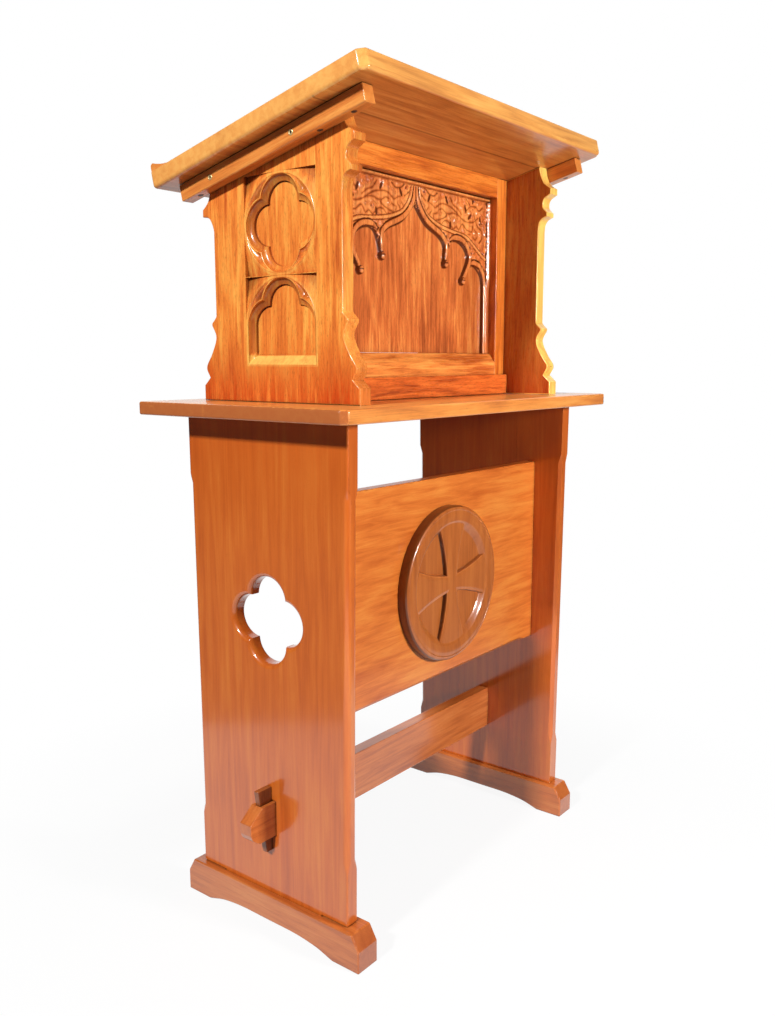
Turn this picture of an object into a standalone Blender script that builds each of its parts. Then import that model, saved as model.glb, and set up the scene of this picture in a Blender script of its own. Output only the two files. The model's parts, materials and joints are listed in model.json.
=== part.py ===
"""A church lectern: two end panels on sledge feet, joined by a keyed stretcher and an apron,
with a shelf, a traceried desk and a sloping book board on top.

Metres, +Z up. The reader stands at +Y, the carved front looks towards -Y.
"""
import math

import bmesh
import bpy
from mathutils import Matrix, Vector

# Clearance kept between pieces that touch, and how far cutters pass the faces they open
GAP = 0.0003
PASS = 0.004

# Feet
FOOT_LENGTH = 0.349
FOOT_WIDTH = 0.0414
FOOT_HEIGHT = 0.0537
FOOT_NOSE_HEIGHT = 0.0323
FOOT_NOSE_RUN = 0.0128
FOOT_ARCH_LENGTH = 0.252
FOOT_ARCH_RISE = 0.013
FOOT_ROUND = 0.0015

# End panels
PANEL_SPREAD = 0.5928
PANEL_THICK = 0.022
PANEL_FOOT_DEPTH = 0.2936
PANEL_HEAD_DEPTH = 0.307
PANEL_STUB_LENGTH = 0.200
PANEL_STUB_DEPTH = 0.018
PANEL_CHAMFER = 0.0056
PANEL_CHAMFER_LOW = 0.132
PANEL_CHAMFER_HIGH = 0.664
PANEL_CHAMFER_STOP = 0.016
FOIL_HEIGHT = 0.4643
FOIL_LOBE = 0.0345
FOIL_OFFSET = 0.0325
FOIL_SQUEEZE = 0.945

# Stretcher with its tusk tenons
STRETCHER_HEIGHT = 0.075
STRETCHER_THICK = 0.022
STRETCHER_LEVEL = 0.1715
TUSK_HEIGHT = 0.052
TUSK_REACH = 0.0485
TUSK_NOSE = 0.015
TUSK_TOP_RUN = 0.023
TUSK_LOW_RUN = 0.018

# Wedges
WEDGE_THICK = 0.009
WEDGE_ABOVE = 0.022
WEDGE_BELOW = 0.0235
WEDGE_TOP = 0.0265
WEDGE_FOOT = 0.0115
SLOT_INSET = 0.006

# Apron and its roundel
APRON_FRONT = -0.100
APRON_THICK = 0.020
APRON_LOW = 0.328
APRON_HIGH = 0.648
APRON_HOUSING = 0.008
APRON_CHAMFER = 0.006
APRON_CHAMFER_END = 0.022
ROUNDEL_LEVEL = 0.480
ROUNDEL_RADIUS = 0.123
ROUNDEL_PROUD = 0.0165
ROUNDEL_ROUND = 0.010
RIM_WIDTH = 0.026
FIELD_DEPTH = 0.0055
CROSS_RISE = 0.0035
CROSS_WAIST = 0.0135
CROSS_FLARE = 0.037

# Shelf
SHELF_WIDTH = 0.702
SHELF_DEPTH = 0.392
SHELF_THICK = 0.019
SHELF_TOP = 0.768
SHELF_CLIP = 0.008
SHELF_BACK_CLIP = 0.003
SHELF_ROUND = 0.0018

# Stub tenons that hold the shelf on the panels and the desk sides on the shelf
STUB_LENGTH = 0.050
STUB_PITCH = 0.170
STUB_HEIGHT = 0.008

# Desk sides
DESK_WIDTH = 0.5238
DESK_SIDE_THICK = 0.0232
DESK_SET_BACK = 0.0042
DESK_BASE = 0.299
DESK_SHAFT = 0.2415
DESK_RISE = 0.2985

# Sunk tracery of the desk sides
TRACERY_SET = -0.0055
TRACERY_CIRCLE = 0.066
TRACERY_LOBE = 0.0363
TRACERY_OFFSET = 0.028
TRACERY_HOLLOW = 0.0080
TRACERY_SUNK = 0.009
TRACERY_QUIRK = 0.0008
TRACERY_STEP = 0.0018
TRACERY_LEVEL = 0.2395
ARCH_SPRING = 0.1046
ARCH_SILL = 0.0525
ARCH_SILL_RISE = 0.014
SPANDREL_SUNK = 0.006
SPANDREL_RIM = 0.0022
SPANDREL_TAPER = 0.12
EYE_SUNK = 0.0045
EYE_RIM = 0.0022
EYE_FILLET = 0.0016
EYE_TAPER = 0.75

# Book board with its ledge and bearers
BOARD_WIDTH = 0.6164
BOARD_LENGTH = 0.4046
BOARD_THICK = 0.0253
BOARD_LOW_Y = 0.199
BOARD_SLOPE = math.radians(13.54)
BOARD_CLIP = 0.009
BOARD_BACK_CLIP = 0.0035
BOARD_ROUND = 0.002
LEDGE_WIDTH = 0.034
LEDGE_SEAT = 0.0015
LEDGE_RISE = 0.011
LEDGE_TOE = 0.0015
LEDGE_ROUND = 0.005
LEDGE_HOLLOW = 1.45
BEARER_WIDTH = 0.020
BEARER_DEPTH = 0.0235
BEARER_START = 0.027
BEARER_LENGTH = BOARD_LENGTH - 0.0541
BEARER_ROUND = 0.001

# Screws of the bearers, placed along the slope from the board's low edge
SCREW_HEAD = 0.0040
SCREW_SHANK = 0.0019
SCREW_CONE = 0.0028
SIDE_SCREW_LENGTH = 0.034
BOARD_SCREW_LENGTH = 0.036
SIDE_SCREW_PLACES = {"back": 0.092, "front": BOARD_LENGTH - 0.1526}
BOARD_SCREW_PLACES = {"back": 0.057, "middle": BOARD_LENGTH - 0.1126, "front": BOARD_LENGTH - 0.0546}

# Front frame of the desk
FRAME_FRONT = -0.054
FRAME_THICK = 0.030
STILE_WIDTH = 0.0295
TOP_RAIL = 0.032
BOTTOM_RAIL = 0.054
SILL_RISE = 0.015
CARVING_RECESS = 0.011
TONGUE_THICK = 0.008
TONGUE_START = 0.016
GROOVE_DEPTH = 0.006
PLINTH_HEIGHT = 0.0335
PLINTH_THICK = 0.007

# Carved panel in the frame
CARVING_DEPTH = 0.007
CARVING_JAMB = 0.011
CUSP_BALL = 0.0062
INNER_CUSP = (0.081, 0.115)
OUTER_CUSP = (0.131, 0.138)

# Places worked out from the sizes above
PANEL_OUTER = PANEL_SPREAD / 2
PANEL_INNER = PANEL_OUTER - PANEL_THICK
PANEL_MIDDLE = PANEL_OUTER - PANEL_THICK / 2
SHELF_UNDER = SHELF_TOP - SHELF_THICK
DESK_OUTER = DESK_WIDTH / 2
DESK_INNER = DESK_OUTER - DESK_SIDE_THICK
DESK_MIDDLE = DESK_OUTER - DESK_SIDE_THICK / 2
BOARD_LOW_Z = SHELF_TOP + DESK_RISE
FRAME_BACK = FRAME_FRONT + FRAME_THICK
CARVING_FACE = FRAME_FRONT + CARVING_RECESS
STILE_INNER = DESK_INNER - GAP - STILE_WIDTH
BACK_REACH = (BOARD_LOW_Y + LEDGE_ROUND * (1 - math.cos(BOARD_SLOPE))
              + (BOARD_THICK + GAP + LEDGE_RISE - LEDGE_ROUND) * math.sin(BOARD_SLOPE))
FRONT_REACH = max(SHELF_DEPTH / 2, BOARD_LENGTH * math.cos(BOARD_SLOPE) - BOARD_LOW_Y)
STAND_Y = (FRONT_REACH - BACK_REACH) / 2

SIDES = {"left": -1, "right": 1}


def under_board(y):
    """Height of the book board's underside at depth y."""
    return BOARD_LOW_Z + (BOARD_LOW_Y - y) * math.tan(BOARD_SLOPE)


# Scene, collections and materials
for stale in list(bpy.data.objects):
    bpy.data.objects.remove(stale, do_unlink=True)

lectern = bpy.data.collections.new("church_lectern")
cutters = bpy.data.collections.new("cutters")
bpy.context.scene.collection.children.link(lectern)
bpy.context.scene.collection.children.link(cutters)

stand = bpy.data.objects.new("stand_origin", None)
stand.location = (0.0, STAND_Y, 0.0)
lectern.objects.link(stand)

slope = bpy.data.objects.new("slope_origin", None)
slope.location = (0.0, BOARD_LOW_Y, BOARD_LOW_Z)
slope.rotation_euler = (-BOARD_SLOPE, 0.0, 0.0)
slope.parent = stand
lectern.objects.link(slope)


def material(name, colour, roughness, metallic=0.0):
    """A plain Principled material."""
    made = bpy.data.materials.new(name)
    made.use_nodes = True
    shader = made.node_tree.nodes["Principled BSDF"]
    shader.inputs["Base Color"].default_value = (*colour, 1.0)
    shader.inputs["Roughness"].default_value = roughness
    shader.inputs["Metallic"].default_value = metallic
    return made


HONEY = material("honey_varnished_wood", (0.56, 0.20, 0.055), 0.32)
AMBER = material("amber_varnished_wood", (0.48, 0.155, 0.040), 0.30)
RUSSET = material("russet_carved_wood", (0.40, 0.115, 0.032), 0.30)
NUT = material("nut_brown_wood", (0.36, 0.125, 0.040), 0.30)
BRASS = material("aged_brass", (0.55, 0.40, 0.17), 0.38, 1.0)
STEEL = material("dull_steel", (0.42, 0.40, 0.37), 0.42, 1.0)

# Rotations that lay a drawing's own x and y along the named world axes
FLAT = {
    "xy": Matrix.Identity(3),
    "xz": Matrix.Rotation(math.pi / 2, 3, "X"),
    "yz": Matrix(((0, 0, 1), (1, 0, 0), (0, 1, 0))),
}


# Drawing helpers
def arc(centre, radius, start, stop, steps):
    """Points on a circle from start to stop, in degrees."""
    turn = [math.radians(start + (stop - start) * i / steps) for i in range(steps + 1)]
    return [(centre[0] + radius * math.cos(a), centre[1] + radius * math.sin(a)) for a in turn]


def rectangle(x0, y0, x1, y1):
    return [(x0, y0), (x1, y0), (x1, y1), (x0, y1)]


def mirrored(points):
    """A half outline followed by its reflection across the drawing's y axis."""
    return points + [(-x, y, *rest) for x, y, *rest in reversed(points) if abs(x) > 1e-9]


def quatrefoil(centre, lobe, offset, steps):
    """Four overlapping circles, traced from cusp to cusp."""
    cusp = (offset + math.sqrt(2 * lobe ** 2 - offset ** 2)) / 2
    spread = math.degrees(math.atan2(cusp, cusp - offset))
    points = []
    for quarter in range(4):
        aim = 90 * quarter
        middle = (centre[0] + offset * math.cos(math.radians(aim)),
                  centre[1] + offset * math.sin(math.radians(aim)))
        points += arc(middle, lobe, aim - spread, aim + spread, steps)[:-1]
    return points


def trefoil_head(centre, lobe, offset, sill, steps):
    """An opening with upright jambs under a head of three lobes."""
    spread = math.degrees(math.acos(offset / (math.sqrt(2) * lobe)))
    right = (centre[0] + offset, centre[1])
    top = (centre[0], centre[1] + offset)
    left = (centre[0] - offset, centre[1])
    jamb = offset + lobe
    points = [(centre[0] + jamb, sill)]
    points += arc(right, lobe, 0, 135 - spread, steps)[:-1]
    points += arc(top, lobe, spread - 45, 225 - spread, steps)[:-1]
    points += arc(left, lobe, 45 + spread, 180, steps)
    points.append((centre[0] - jamb, sill))
    return points


# Mesh helpers
def add(name, mesh, paint, at=(0.0, 0.0, 0.0), turn=(0.0, 0.0, 0.0), parent=None):
    """Names a mesh as a piece of the lectern, or as a cutter when it has no paint."""
    piece = bpy.data.objects.new(name, mesh)
    piece.location = at
    piece.rotation_euler = turn
    piece.parent = parent or stand
    if paint is None:
        cutters.objects.link(piece)
        piece.display_type = "WIRE"
        piece.hide_render = True
    else:
        lectern.objects.link(piece)
        mesh.materials.append(paint)
    return piece


def box_mesh(name, boxes):
    """One mesh of plain boxes, each given by its low and high corner."""
    bm = bmesh.new()
    for low, high in boxes:
        size = Vector(high) - Vector(low)
        place = Matrix.Translation((Vector(high) + Vector(low)) / 2) @ Matrix.Diagonal((*size, 1.0))
        bmesh.ops.create_cube(bm, size=1.0, matrix=place)
    mesh = bpy.data.meshes.new(name)
    bm.to_mesh(mesh)
    bm.free()
    return mesh


def draw_spline(curve, outline, smooth):
    """Adds a closed outline; smooth outlines give each point as x, y and corner or round."""
    spline = curve.splines.new("BEZIER" if smooth else "POLY")
    if not smooth:
        spline.points.add(len(outline) - 1)
        for point, (x, y) in zip(spline.points, outline):
            point.co = (x, y, 0.0, 1.0)
    else:
        spline.bezier_points.add(len(outline) - 1)
        for point, (x, y, kind) in zip(spline.bezier_points, outline):
            point.co = (x, y, 0.0)
            handle = "VECTOR" if kind == "corner" else "AUTO"
            point.handle_left_type = handle
            point.handle_right_type = handle
    spline.use_cyclic_u = True


def plate_mesh(name, outline, thick, plane, smooth=False, fineness=5):
    """A board of even thickness with the given outline, centred on its plane."""
    curve = bpy.data.curves.new(name, "CURVE")
    curve.dimensions = "2D"
    curve.fill_mode = "NONE"
    curve.resolution_u = fineness
    draw_spline(curve, outline, smooth)
    drawing = bpy.data.objects.new(name, curve)
    mesh = bpy.data.meshes.new_from_object(drawing)
    bpy.data.objects.remove(drawing)
    bm = bmesh.new()
    bm.from_mesh(mesh)
    bmesh.ops.remove_doubles(bm, verts=bm.verts, dist=1e-6)
    face = bmesh.ops.contextual_create(bm, geom=bm.edges)["faces"]
    bmesh.ops.translate(bm, verts=bm.verts, vec=(0.0, 0.0, -thick / 2))
    raised = bmesh.ops.extrude_face_region(bm, geom=face, use_keep_orig=True)["geom"]
    top = [part for part in raised if isinstance(part, bmesh.types.BMVert)]
    bmesh.ops.translate(bm, verts=top, vec=(0.0, 0.0, thick))
    bmesh.ops.transform(bm, matrix=FLAT[plane].to_4x4(), verts=bm.verts)
    bmesh.ops.recalc_face_normals(bm, faces=bm.faces)
    bm.to_mesh(mesh)
    bm.free()
    mesh.name = name
    return mesh


def loft_mesh(name, rings):
    """A solid through rings of equally many points, capped at both ends."""
    bm = bmesh.new()
    loops = [[bm.verts.new(point) for point in ring] for ring in rings]
    count = len(rings[0])
    for low, high in zip(loops, loops[1:]):
        for i in range(count):
            j = (i + 1) % count
            bm.faces.new((low[i], low[j], high[j], high[i]))
    bm.faces.new(loops[0])
    bm.faces.new(loops[-1])
    bmesh.ops.recalc_face_normals(bm, faces=bm.faces)
    mesh = bpy.data.meshes.new(name)
    bm.to_mesh(mesh)
    bm.free()
    return mesh


def turned_mesh(name, profile):
    """The open profile of a turned piece, given as radius and height from top to bottom."""
    bm = bmesh.new()
    points = [bm.verts.new((radius, 0.0, height)) for radius, height in profile]
    for first, second in zip(points, points[1:]):
        bm.edges.new((first, second))
    mesh = bpy.data.meshes.new(name)
    bm.to_mesh(mesh)
    bm.free()
    return mesh


# Modifier helpers
def spin(piece, steps):
    """Turns a profile about its own z axis."""
    screw = piece.modifiers.new("turn", "SCREW")
    screw.steps = steps
    screw.render_steps = steps
    screw.use_merge_vertices = True
    screw.merge_threshold = 1e-5


def cut(piece, tool, operation="DIFFERENCE"):
    boolean = piece.modifiers.new(tool.name, "BOOLEAN")
    boolean.operation = operation
    boolean.solver = "EXACT"
    boolean.object = tool


def ease(piece, width, segments=1):
    """Eases the sharp edges of a piece."""
    bevel = piece.modifiers.new("eased_edges", "BEVEL")
    bevel.width = width
    bevel.segments = segments
    bevel.limit_method = "ANGLE"
    bevel.angle_limit = math.radians(50)


def spindle(name, reach, length, stop):
    """A four-sided bar with pointed ends, which cuts a stopped chamfer from PASS outside an edge's faces."""
    half = length / 2 + 2 * PASS * stop / reach
    full = length / 2 - stop
    wide = reach + 2 * PASS
    profile = [(0.0, half), (wide, full), (wide, -full), (0.0, -half)]
    tool = add(name, turned_mesh(name, profile), None)
    spin(tool, 4)
    return tool


# Feet
def make_foot(side, sign):
    half = FOOT_LENGTH / 2
    arch = FOOT_ARCH_LENGTH / 2
    right = [
        (arch, 0.0, "corner"),
        (half, 0.0, "corner"),
        (half, FOOT_NOSE_HEIGHT, "corner"),
        (half - FOOT_NOSE_RUN, FOOT_HEIGHT, "corner"),
    ]
    outline = mirrored(right) + [(-arch * 0.72, FOOT_ARCH_RISE * 0.72, "round"),
                                 (0.0, FOOT_ARCH_RISE, "round"),
                                 (arch * 0.72, FOOT_ARCH_RISE * 0.72, "round")]
    mesh = plate_mesh(f"{side}_foot", outline, FOOT_WIDTH, "yz", smooth=True, fineness=6)
    foot = add(f"{side}_foot", mesh, AMBER, at=(sign * PANEL_MIDDLE, 0.0, 0.0))
    ease(foot, FOOT_ROUND)
    reach = PANEL_THICK / 2 + GAP
    length = PANEL_STUB_LENGTH / 2 + GAP
    floor = FOOT_HEIGHT - PANEL_STUB_DEPTH - GAP
    name = f"{side}_foot_mortise"
    mortise = box_mesh(name, [((-reach, -length, floor), (reach, length, FOOT_HEIGHT + PASS))])
    cut(foot, add(name, mortise, None, at=foot.location))


# End panels
def stub_outline(low, high, pitch, length):
    """The two stub tenons on a horizontal edge, from the far one to the near one."""
    points = []
    for middle in (pitch / 2, -pitch / 2):
        points += [(middle + length / 2, low), (middle + length / 2, high),
                   (middle - length / 2, high), (middle - length / 2, low)]
    return points


def panel_half(z):
    """Half the depth of an end panel at height z; its edges lean outward towards the shelf."""
    share = (z - FOOT_HEIGHT) / (SHELF_UNDER - FOOT_HEIGHT)
    return (PANEL_FOOT_DEPTH + (PANEL_HEAD_DEPTH - PANEL_FOOT_DEPTH) * share) / 2


def panel_outline():
    stub = PANEL_STUB_LENGTH / 2
    low = FOOT_HEIGHT + GAP
    high = SHELF_UNDER - GAP
    foot_end = FOOT_HEIGHT - PANEL_STUB_DEPTH
    outline = [(-panel_half(low), low), (-stub, low), (-stub, foot_end), (stub, foot_end), (stub, low),
               (panel_half(low), low), (panel_half(high), high)]
    outline += stub_outline(high, SHELF_UNDER + STUB_HEIGHT, STUB_PITCH, STUB_LENGTH)
    outline.append((-panel_half(high), high))
    return outline


def make_end_panel(side, sign):
    name = f"{side}_end_panel"
    at = (sign * PANEL_MIDDLE, 0.0, 0.0)
    panel = add(name, plate_mesh(name, panel_outline(), PANEL_THICK, "yz"), HONEY, at=at)

    half = STRETCHER_THICK / 2 + GAP
    rise = TUSK_HEIGHT / 2 + GAP
    foil = quatrefoil((0.0, 0.0), FOIL_LOBE, FOIL_OFFSET, 14)
    holes = {
        "foil": [(y, FOIL_HEIGHT + z * FOIL_SQUEEZE) for y, z in foil],
        "mortise": rectangle(-half, STRETCHER_LEVEL - rise, half, STRETCHER_LEVEL + rise),
    }
    for title, hole in holes.items():
        tool_name = f"{name}_{title}"
        mesh = plate_mesh(tool_name, hole, PANEL_THICK + 2 * PASS, "yz")
        cut(panel, add(tool_name, mesh, None, at=at))

    length = PANEL_CHAMFER_HIGH - PANEL_CHAMFER_LOW
    middle = (PANEL_CHAMFER_HIGH + PANEL_CHAMFER_LOW) / 2
    lean = math.atan2(panel_half(PANEL_CHAMFER_HIGH) - panel_half(PANEL_CHAMFER_LOW), length)
    for face in (-1, 1):
        for edge in (-1, 1):
            title = f"{name}_chamfer_{face + 1}{edge + 1}"
            tool = spindle(title, PANEL_CHAMFER, length, PANEL_CHAMFER_STOP)
            tool.location = (sign * PANEL_MIDDLE + face * (PANEL_THICK / 2 + PASS),
                             edge * (panel_half(middle) + PASS), middle)
            tool.rotation_euler = (-edge * lean, 0.0, 0.0)
            cut(panel, tool)

    floor = PANEL_INNER + APRON_HOUSING + GAP
    faces = sorted((sign * floor, sign * (PANEL_INNER - PASS)))
    low = (faces[0], APRON_FRONT - GAP, APRON_LOW - GAP)
    high = (faces[1], APRON_FRONT + APRON_THICK + GAP, APRON_HIGH + GAP)
    cut(panel, add(f"{name}_housing", box_mesh(f"{name}_housing", [(low, high)]), None))


# Stretcher and wedges
def wedge_face(z):
    """Distance of a wedge's sloping outer face from the middle of the lectern at height z."""
    low = STRETCHER_LEVEL - TUSK_HEIGHT / 2 - WEDGE_BELOW
    high = STRETCHER_LEVEL + TUSK_HEIGHT / 2 + WEDGE_ABOVE
    share = (z - low) / (high - low)
    return PANEL_OUTER + GAP + WEDGE_FOOT + (WEDGE_TOP - WEDGE_FOOT) * share


def make_stretcher():
    shoulder = PANEL_INNER - GAP
    tip = PANEL_OUTER + TUSK_REACH
    body = STRETCHER_HEIGHT / 2
    tusk = TUSK_HEIGHT / 2
    nose = TUSK_NOSE / 2
    right = [
        (shoulder, -body, "corner"),
        (shoulder, -tusk, "corner"),
        (tip - TUSK_LOW_RUN, -tusk, "corner"),
        (tip - TUSK_LOW_RUN * 0.25, -(tusk + nose) / 2, "round"),
        (tip, -nose, "corner"),
        (tip, nose, "corner"),
        (tip - TUSK_TOP_RUN, tusk, "corner"),
        (shoulder, tusk, "corner"),
        (shoulder, body, "corner"),
    ]
    mesh = plate_mesh("stretcher", mirrored(right), STRETCHER_THICK, "xz", smooth=True)
    stretcher = add("stretcher", mesh, AMBER, at=(0.0, 0.0, STRETCHER_LEVEL))
    low = STRETCHER_LEVEL - tusk - PASS
    high = STRETCHER_LEVEL + tusk + PASS
    inner = PANEL_OUTER - SLOT_INSET
    for side, sign in SIDES.items():
        outline = [(sign * inner, low), (sign * (wedge_face(low) + GAP), low),
                   (sign * (wedge_face(high) + GAP), high), (sign * inner, high)]
        name = f"{side}_wedge_slot"
        cut(stretcher, add(name, plate_mesh(name, outline, WEDGE_THICK + 2 * GAP, "xz"), None))


def make_wedge(side, sign):
    low = -TUSK_HEIGHT / 2 - WEDGE_BELOW
    high = TUSK_HEIGHT / 2 + WEDGE_ABOVE
    inner = PANEL_OUTER + GAP
    axis = inner + (WEDGE_TOP + WEDGE_FOOT) / 4
    outline = [(inner, low), (wedge_face(STRETCHER_LEVEL + low), low),
               (wedge_face(STRETCHER_LEVEL + high), high), (inner, high)]
    outline = [(sign * (x - axis), z) for x, z in outline]
    name = f"{side}_tusk_wedge"
    mesh = plate_mesh(name, outline, WEDGE_THICK, "xz")
    wedge = add(name, mesh, NUT, at=(sign * axis, 0.0, STRETCHER_LEVEL))
    ease(wedge, 0.0006)


# Apron and roundel
def make_apron():
    half = PANEL_INNER + APRON_HOUSING
    low = (-half, APRON_FRONT, APRON_LOW)
    high = (half, APRON_FRONT + APRON_THICK, APRON_HIGH)
    apron = add("apron_panel", box_mesh("apron_panel", [(low, high)]), HONEY)
    length = 2 * (PANEL_INNER - APRON_CHAMFER_END)
    tool = spindle("apron_chamfer", APRON_CHAMFER, length, PANEL_CHAMFER_STOP)
    tool.rotation_euler = (0.0, math.pi / 2, 0.0)
    tool.location = (0.0, APRON_FRONT - PASS, APRON_LOW - PASS)
    cut(apron, tool)


def roundel_profile():
    """Radius and height from the middle of the sunk field over the rim to the back."""
    field = ROUNDEL_PROUD - FIELD_DEPTH
    inner = ROUNDEL_RADIUS - RIM_WIDTH
    hollow = FIELD_DEPTH * 0.8
    profile = [(0.0, field), (inner - hollow, field)]
    profile += arc((inner - hollow, field + hollow), hollow, -90, 0, 4)[1:]
    profile.append((inner + (FIELD_DEPTH - hollow), ROUNDEL_PROUD))
    outer = (ROUNDEL_RADIUS - ROUNDEL_ROUND, ROUNDEL_PROUD - ROUNDEL_ROUND)
    profile += arc(outer, ROUNDEL_ROUND, 90, 0, 6)
    profile += [(ROUNDEL_RADIUS, 0.0), (0.0, 0.0)]
    return profile


def cross_outline():
    """A cross whose four arms widen in a hollow curve towards the rim."""
    reach = ROUNDEL_RADIUS - RIM_WIDTH + FIELD_DEPTH * 0.1
    points = []
    for quarter in range(4):
        turn = Matrix.Rotation(math.pi / 2 * quarter, 2)
        flare = math.asin(CROSS_FLARE / reach)
        edge = []
        for i in range(7):
            share = i / 6
            along = CROSS_WAIST + (reach * math.cos(flare) - CROSS_WAIST) * share
            edge.append((along, CROSS_WAIST + (CROSS_FLARE - CROSS_WAIST) * share ** 1.7))
        rim = arc((0.0, 0.0), reach, -math.degrees(flare), math.degrees(flare), 6)[1:-1]
        arm = [(x, -y) for x, y in edge] + rim + list(reversed(edge))
        points += [tuple(turn @ Vector(point)) for point in arm[:-1]]
    return points


def make_roundel():
    at = (0.0, APRON_FRONT - GAP, ROUNDEL_LEVEL)
    turn = (math.pi / 2, 0.0, 0.0)
    roundel = add("cross_roundel", turned_mesh("cross_roundel", roundel_profile()), NUT, at=at, turn=turn)
    spin(roundel, 48)
    base = (ROUNDEL_PROUD - FIELD_DEPTH) / 2
    top = ROUNDEL_PROUD - FIELD_DEPTH + CROSS_RISE
    mesh = plate_mesh("cross_relief", cross_outline(), top - base, "xz")
    middle = (at[0], at[1] - (top + base) / 2, at[2])
    cut(roundel, add("cross_relief", mesh, None, at=middle), "UNION")


# Shelf
def clipped(width, depth, clip, back_clip):
    """A board seen from above, its corners clipped more in front than behind."""
    half = width / 2
    deep = depth / 2
    return [(half - clip, -deep), (half, -deep + clip), (half, deep - back_clip), (half - back_clip, deep),
            (-half + back_clip, deep), (-half, deep - back_clip), (-half, -deep + clip), (-half + clip, -deep)]


def stub_boxes(middle_x, thick, middle_y, low, high):
    """Mortises for the pair of stub tenons on one upright board."""
    half = thick / 2 + GAP
    length = STUB_LENGTH / 2 + GAP
    boxes = []
    for place in (-STUB_PITCH / 2, STUB_PITCH / 2):
        boxes.append(((middle_x - half, middle_y + place - length, low),
                      (middle_x + half, middle_y + place + length, high)))
    return boxes


def make_shelf():
    outline = clipped(SHELF_WIDTH, SHELF_DEPTH, SHELF_CLIP, SHELF_BACK_CLIP)
    mesh = plate_mesh("shelf", outline, SHELF_THICK, "xy")
    shelf = add("shelf", mesh, AMBER, at=(0.0, 0.0, SHELF_TOP - SHELF_THICK / 2))
    ease(shelf, SHELF_ROUND, 2)
    boxes = []
    for sign in SIDES.values():
        boxes += stub_boxes(sign * PANEL_MIDDLE, PANEL_THICK, 0.0, SHELF_UNDER - PASS,
                            SHELF_UNDER + STUB_HEIGHT + GAP)
        boxes += stub_boxes(sign * DESK_MIDDLE, DESK_SIDE_THICK, DESK_SET_BACK,
                            SHELF_TOP - STUB_HEIGHT - GAP, SHELF_TOP + PASS)
    cut(shelf, add("shelf_mortises", box_mesh("shelf_mortises", boxes), None))


# Desk sides
def lower_edge():
    """Out from the middle and up from the shelf: plinth, belly, neck and nib of a shaped edge."""
    base = DESK_BASE / 2
    shaft = DESK_SHAFT / 2
    return [
        (base, 0.0, "corner"),
        (base, 0.0215, "corner"),
        (base - 0.012, 0.0325, "corner"),
        (shaft + 0.0235, 0.048, "round"),
        (shaft + 0.0115, 0.067, "round"),
        (shaft + 0.0015, 0.090, "round"),
        (shaft + 0.0095, 0.1075, "corner"),
        (shaft + 0.0095, 0.1105, "corner"),
        (shaft + 0.0010, 0.1190, "round"),
        (shaft, 0.1240, "corner"),
    ]


def front_head():
    """The front edge's upper shapes, measured out from the shaft and down from the book board."""
    shaft = DESK_SHAFT / 2
    top = under_board(DESK_SET_BACK - shaft) - SHELF_TOP
    return [
        (shaft, top - 0.104, "corner"),
        (shaft + 0.0015, top - 0.0925, "round"),
        (shaft + 0.0065, top - 0.0850, "round"),
        (shaft + 0.0160, top - 0.0810, "corner"),
        (shaft + 0.0160, top - 0.0745, "corner"),
        (shaft + 0.0080, top - 0.0650, "round"),
        (shaft + 0.0100, top - 0.0530, "round"),
        (shaft + 0.0220, top - 0.0455, "corner"),
        (shaft + 0.0220, top - 0.0360, "corner"),
        (shaft + 0.0095, top - 0.0270, "round"),
        (shaft + 0.0030, top - 0.0140, "round"),
    ]


def back_head():
    """The back edge's upper shapes, measured in the same way."""
    shaft = DESK_SHAFT / 2
    top = under_board(DESK_SET_BACK + shaft) - SHELF_TOP
    return [
        (shaft, top - 0.0770, "corner"),
        (shaft + 0.0030, top - 0.0680, "round"),
        (shaft + 0.0100, top - 0.0580, "round"),
        (shaft + 0.0225, top - 0.0555, "corner"),
        (shaft + 0.0225, top - 0.0455, "corner"),
        (shaft + 0.0110, top - 0.0350, "round"),
        (shaft + 0.0050, top - 0.0180, "round"),
    ]


def desk_side_outline():
    front = lower_edge() + front_head()
    back = lower_edge() + back_head()
    front_top = -DESK_SHAFT / 2
    back_top = DESK_SHAFT / 2 + 0.003
    outline = [(DESK_SET_BACK - out, SHELF_TOP + GAP + up, kind) for out, up, kind in front]
    for y in (front_top + DESK_SET_BACK, back_top + DESK_SET_BACK):
        outline.append((y, under_board(y) - GAP / math.cos(BOARD_SLOPE), "corner"))
    outline += [(DESK_SET_BACK + out, SHELF_TOP + GAP + up, kind) for out, up, kind in reversed(back)]
    for y, z in stub_outline(SHELF_TOP + GAP, SHELF_TOP - STUB_HEIGHT, STUB_PITCH, STUB_LENGTH):
        outline.append((y + DESK_SET_BACK, z, "corner"))
    return outline


def hollow_rings(sign, shape):
    """Rings of a sunk opening whose walls are a hollow moulding, from outside to the floor."""
    rings = [(-PASS, 0.0)]
    hollow = TRACERY_SUNK - TRACERY_QUIRK - TRACERY_STEP
    for i in range(4):
        a = math.radians(30 * i)
        rings.append((TRACERY_QUIRK + hollow * math.sin(a), TRACERY_HOLLOW * (1 - math.cos(a))))
    rings.append((TRACERY_SUNK, TRACERY_HOLLOW))
    made = []
    for depth, inset in rings:
        x = sign * (DESK_OUTER - depth)
        made.append([(x, y, z) for y, z in shape(inset)])
    return made


def spandrel(centre, flip_y, flip_z):
    """The sunk corner between a square and the circle inside it."""
    clear = TRACERY_CIRCLE + SPANDREL_RIM
    reach = TRACERY_CIRCLE
    start = math.degrees(math.acos(min(1.0, reach / clear)))
    points = arc((0.0, 0.0), clear, start, 90 - start, 6)
    points.append((reach, reach))
    return [(centre[0] + flip_y * y, centre[1] + flip_z * z) for y, z in points]


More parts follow.
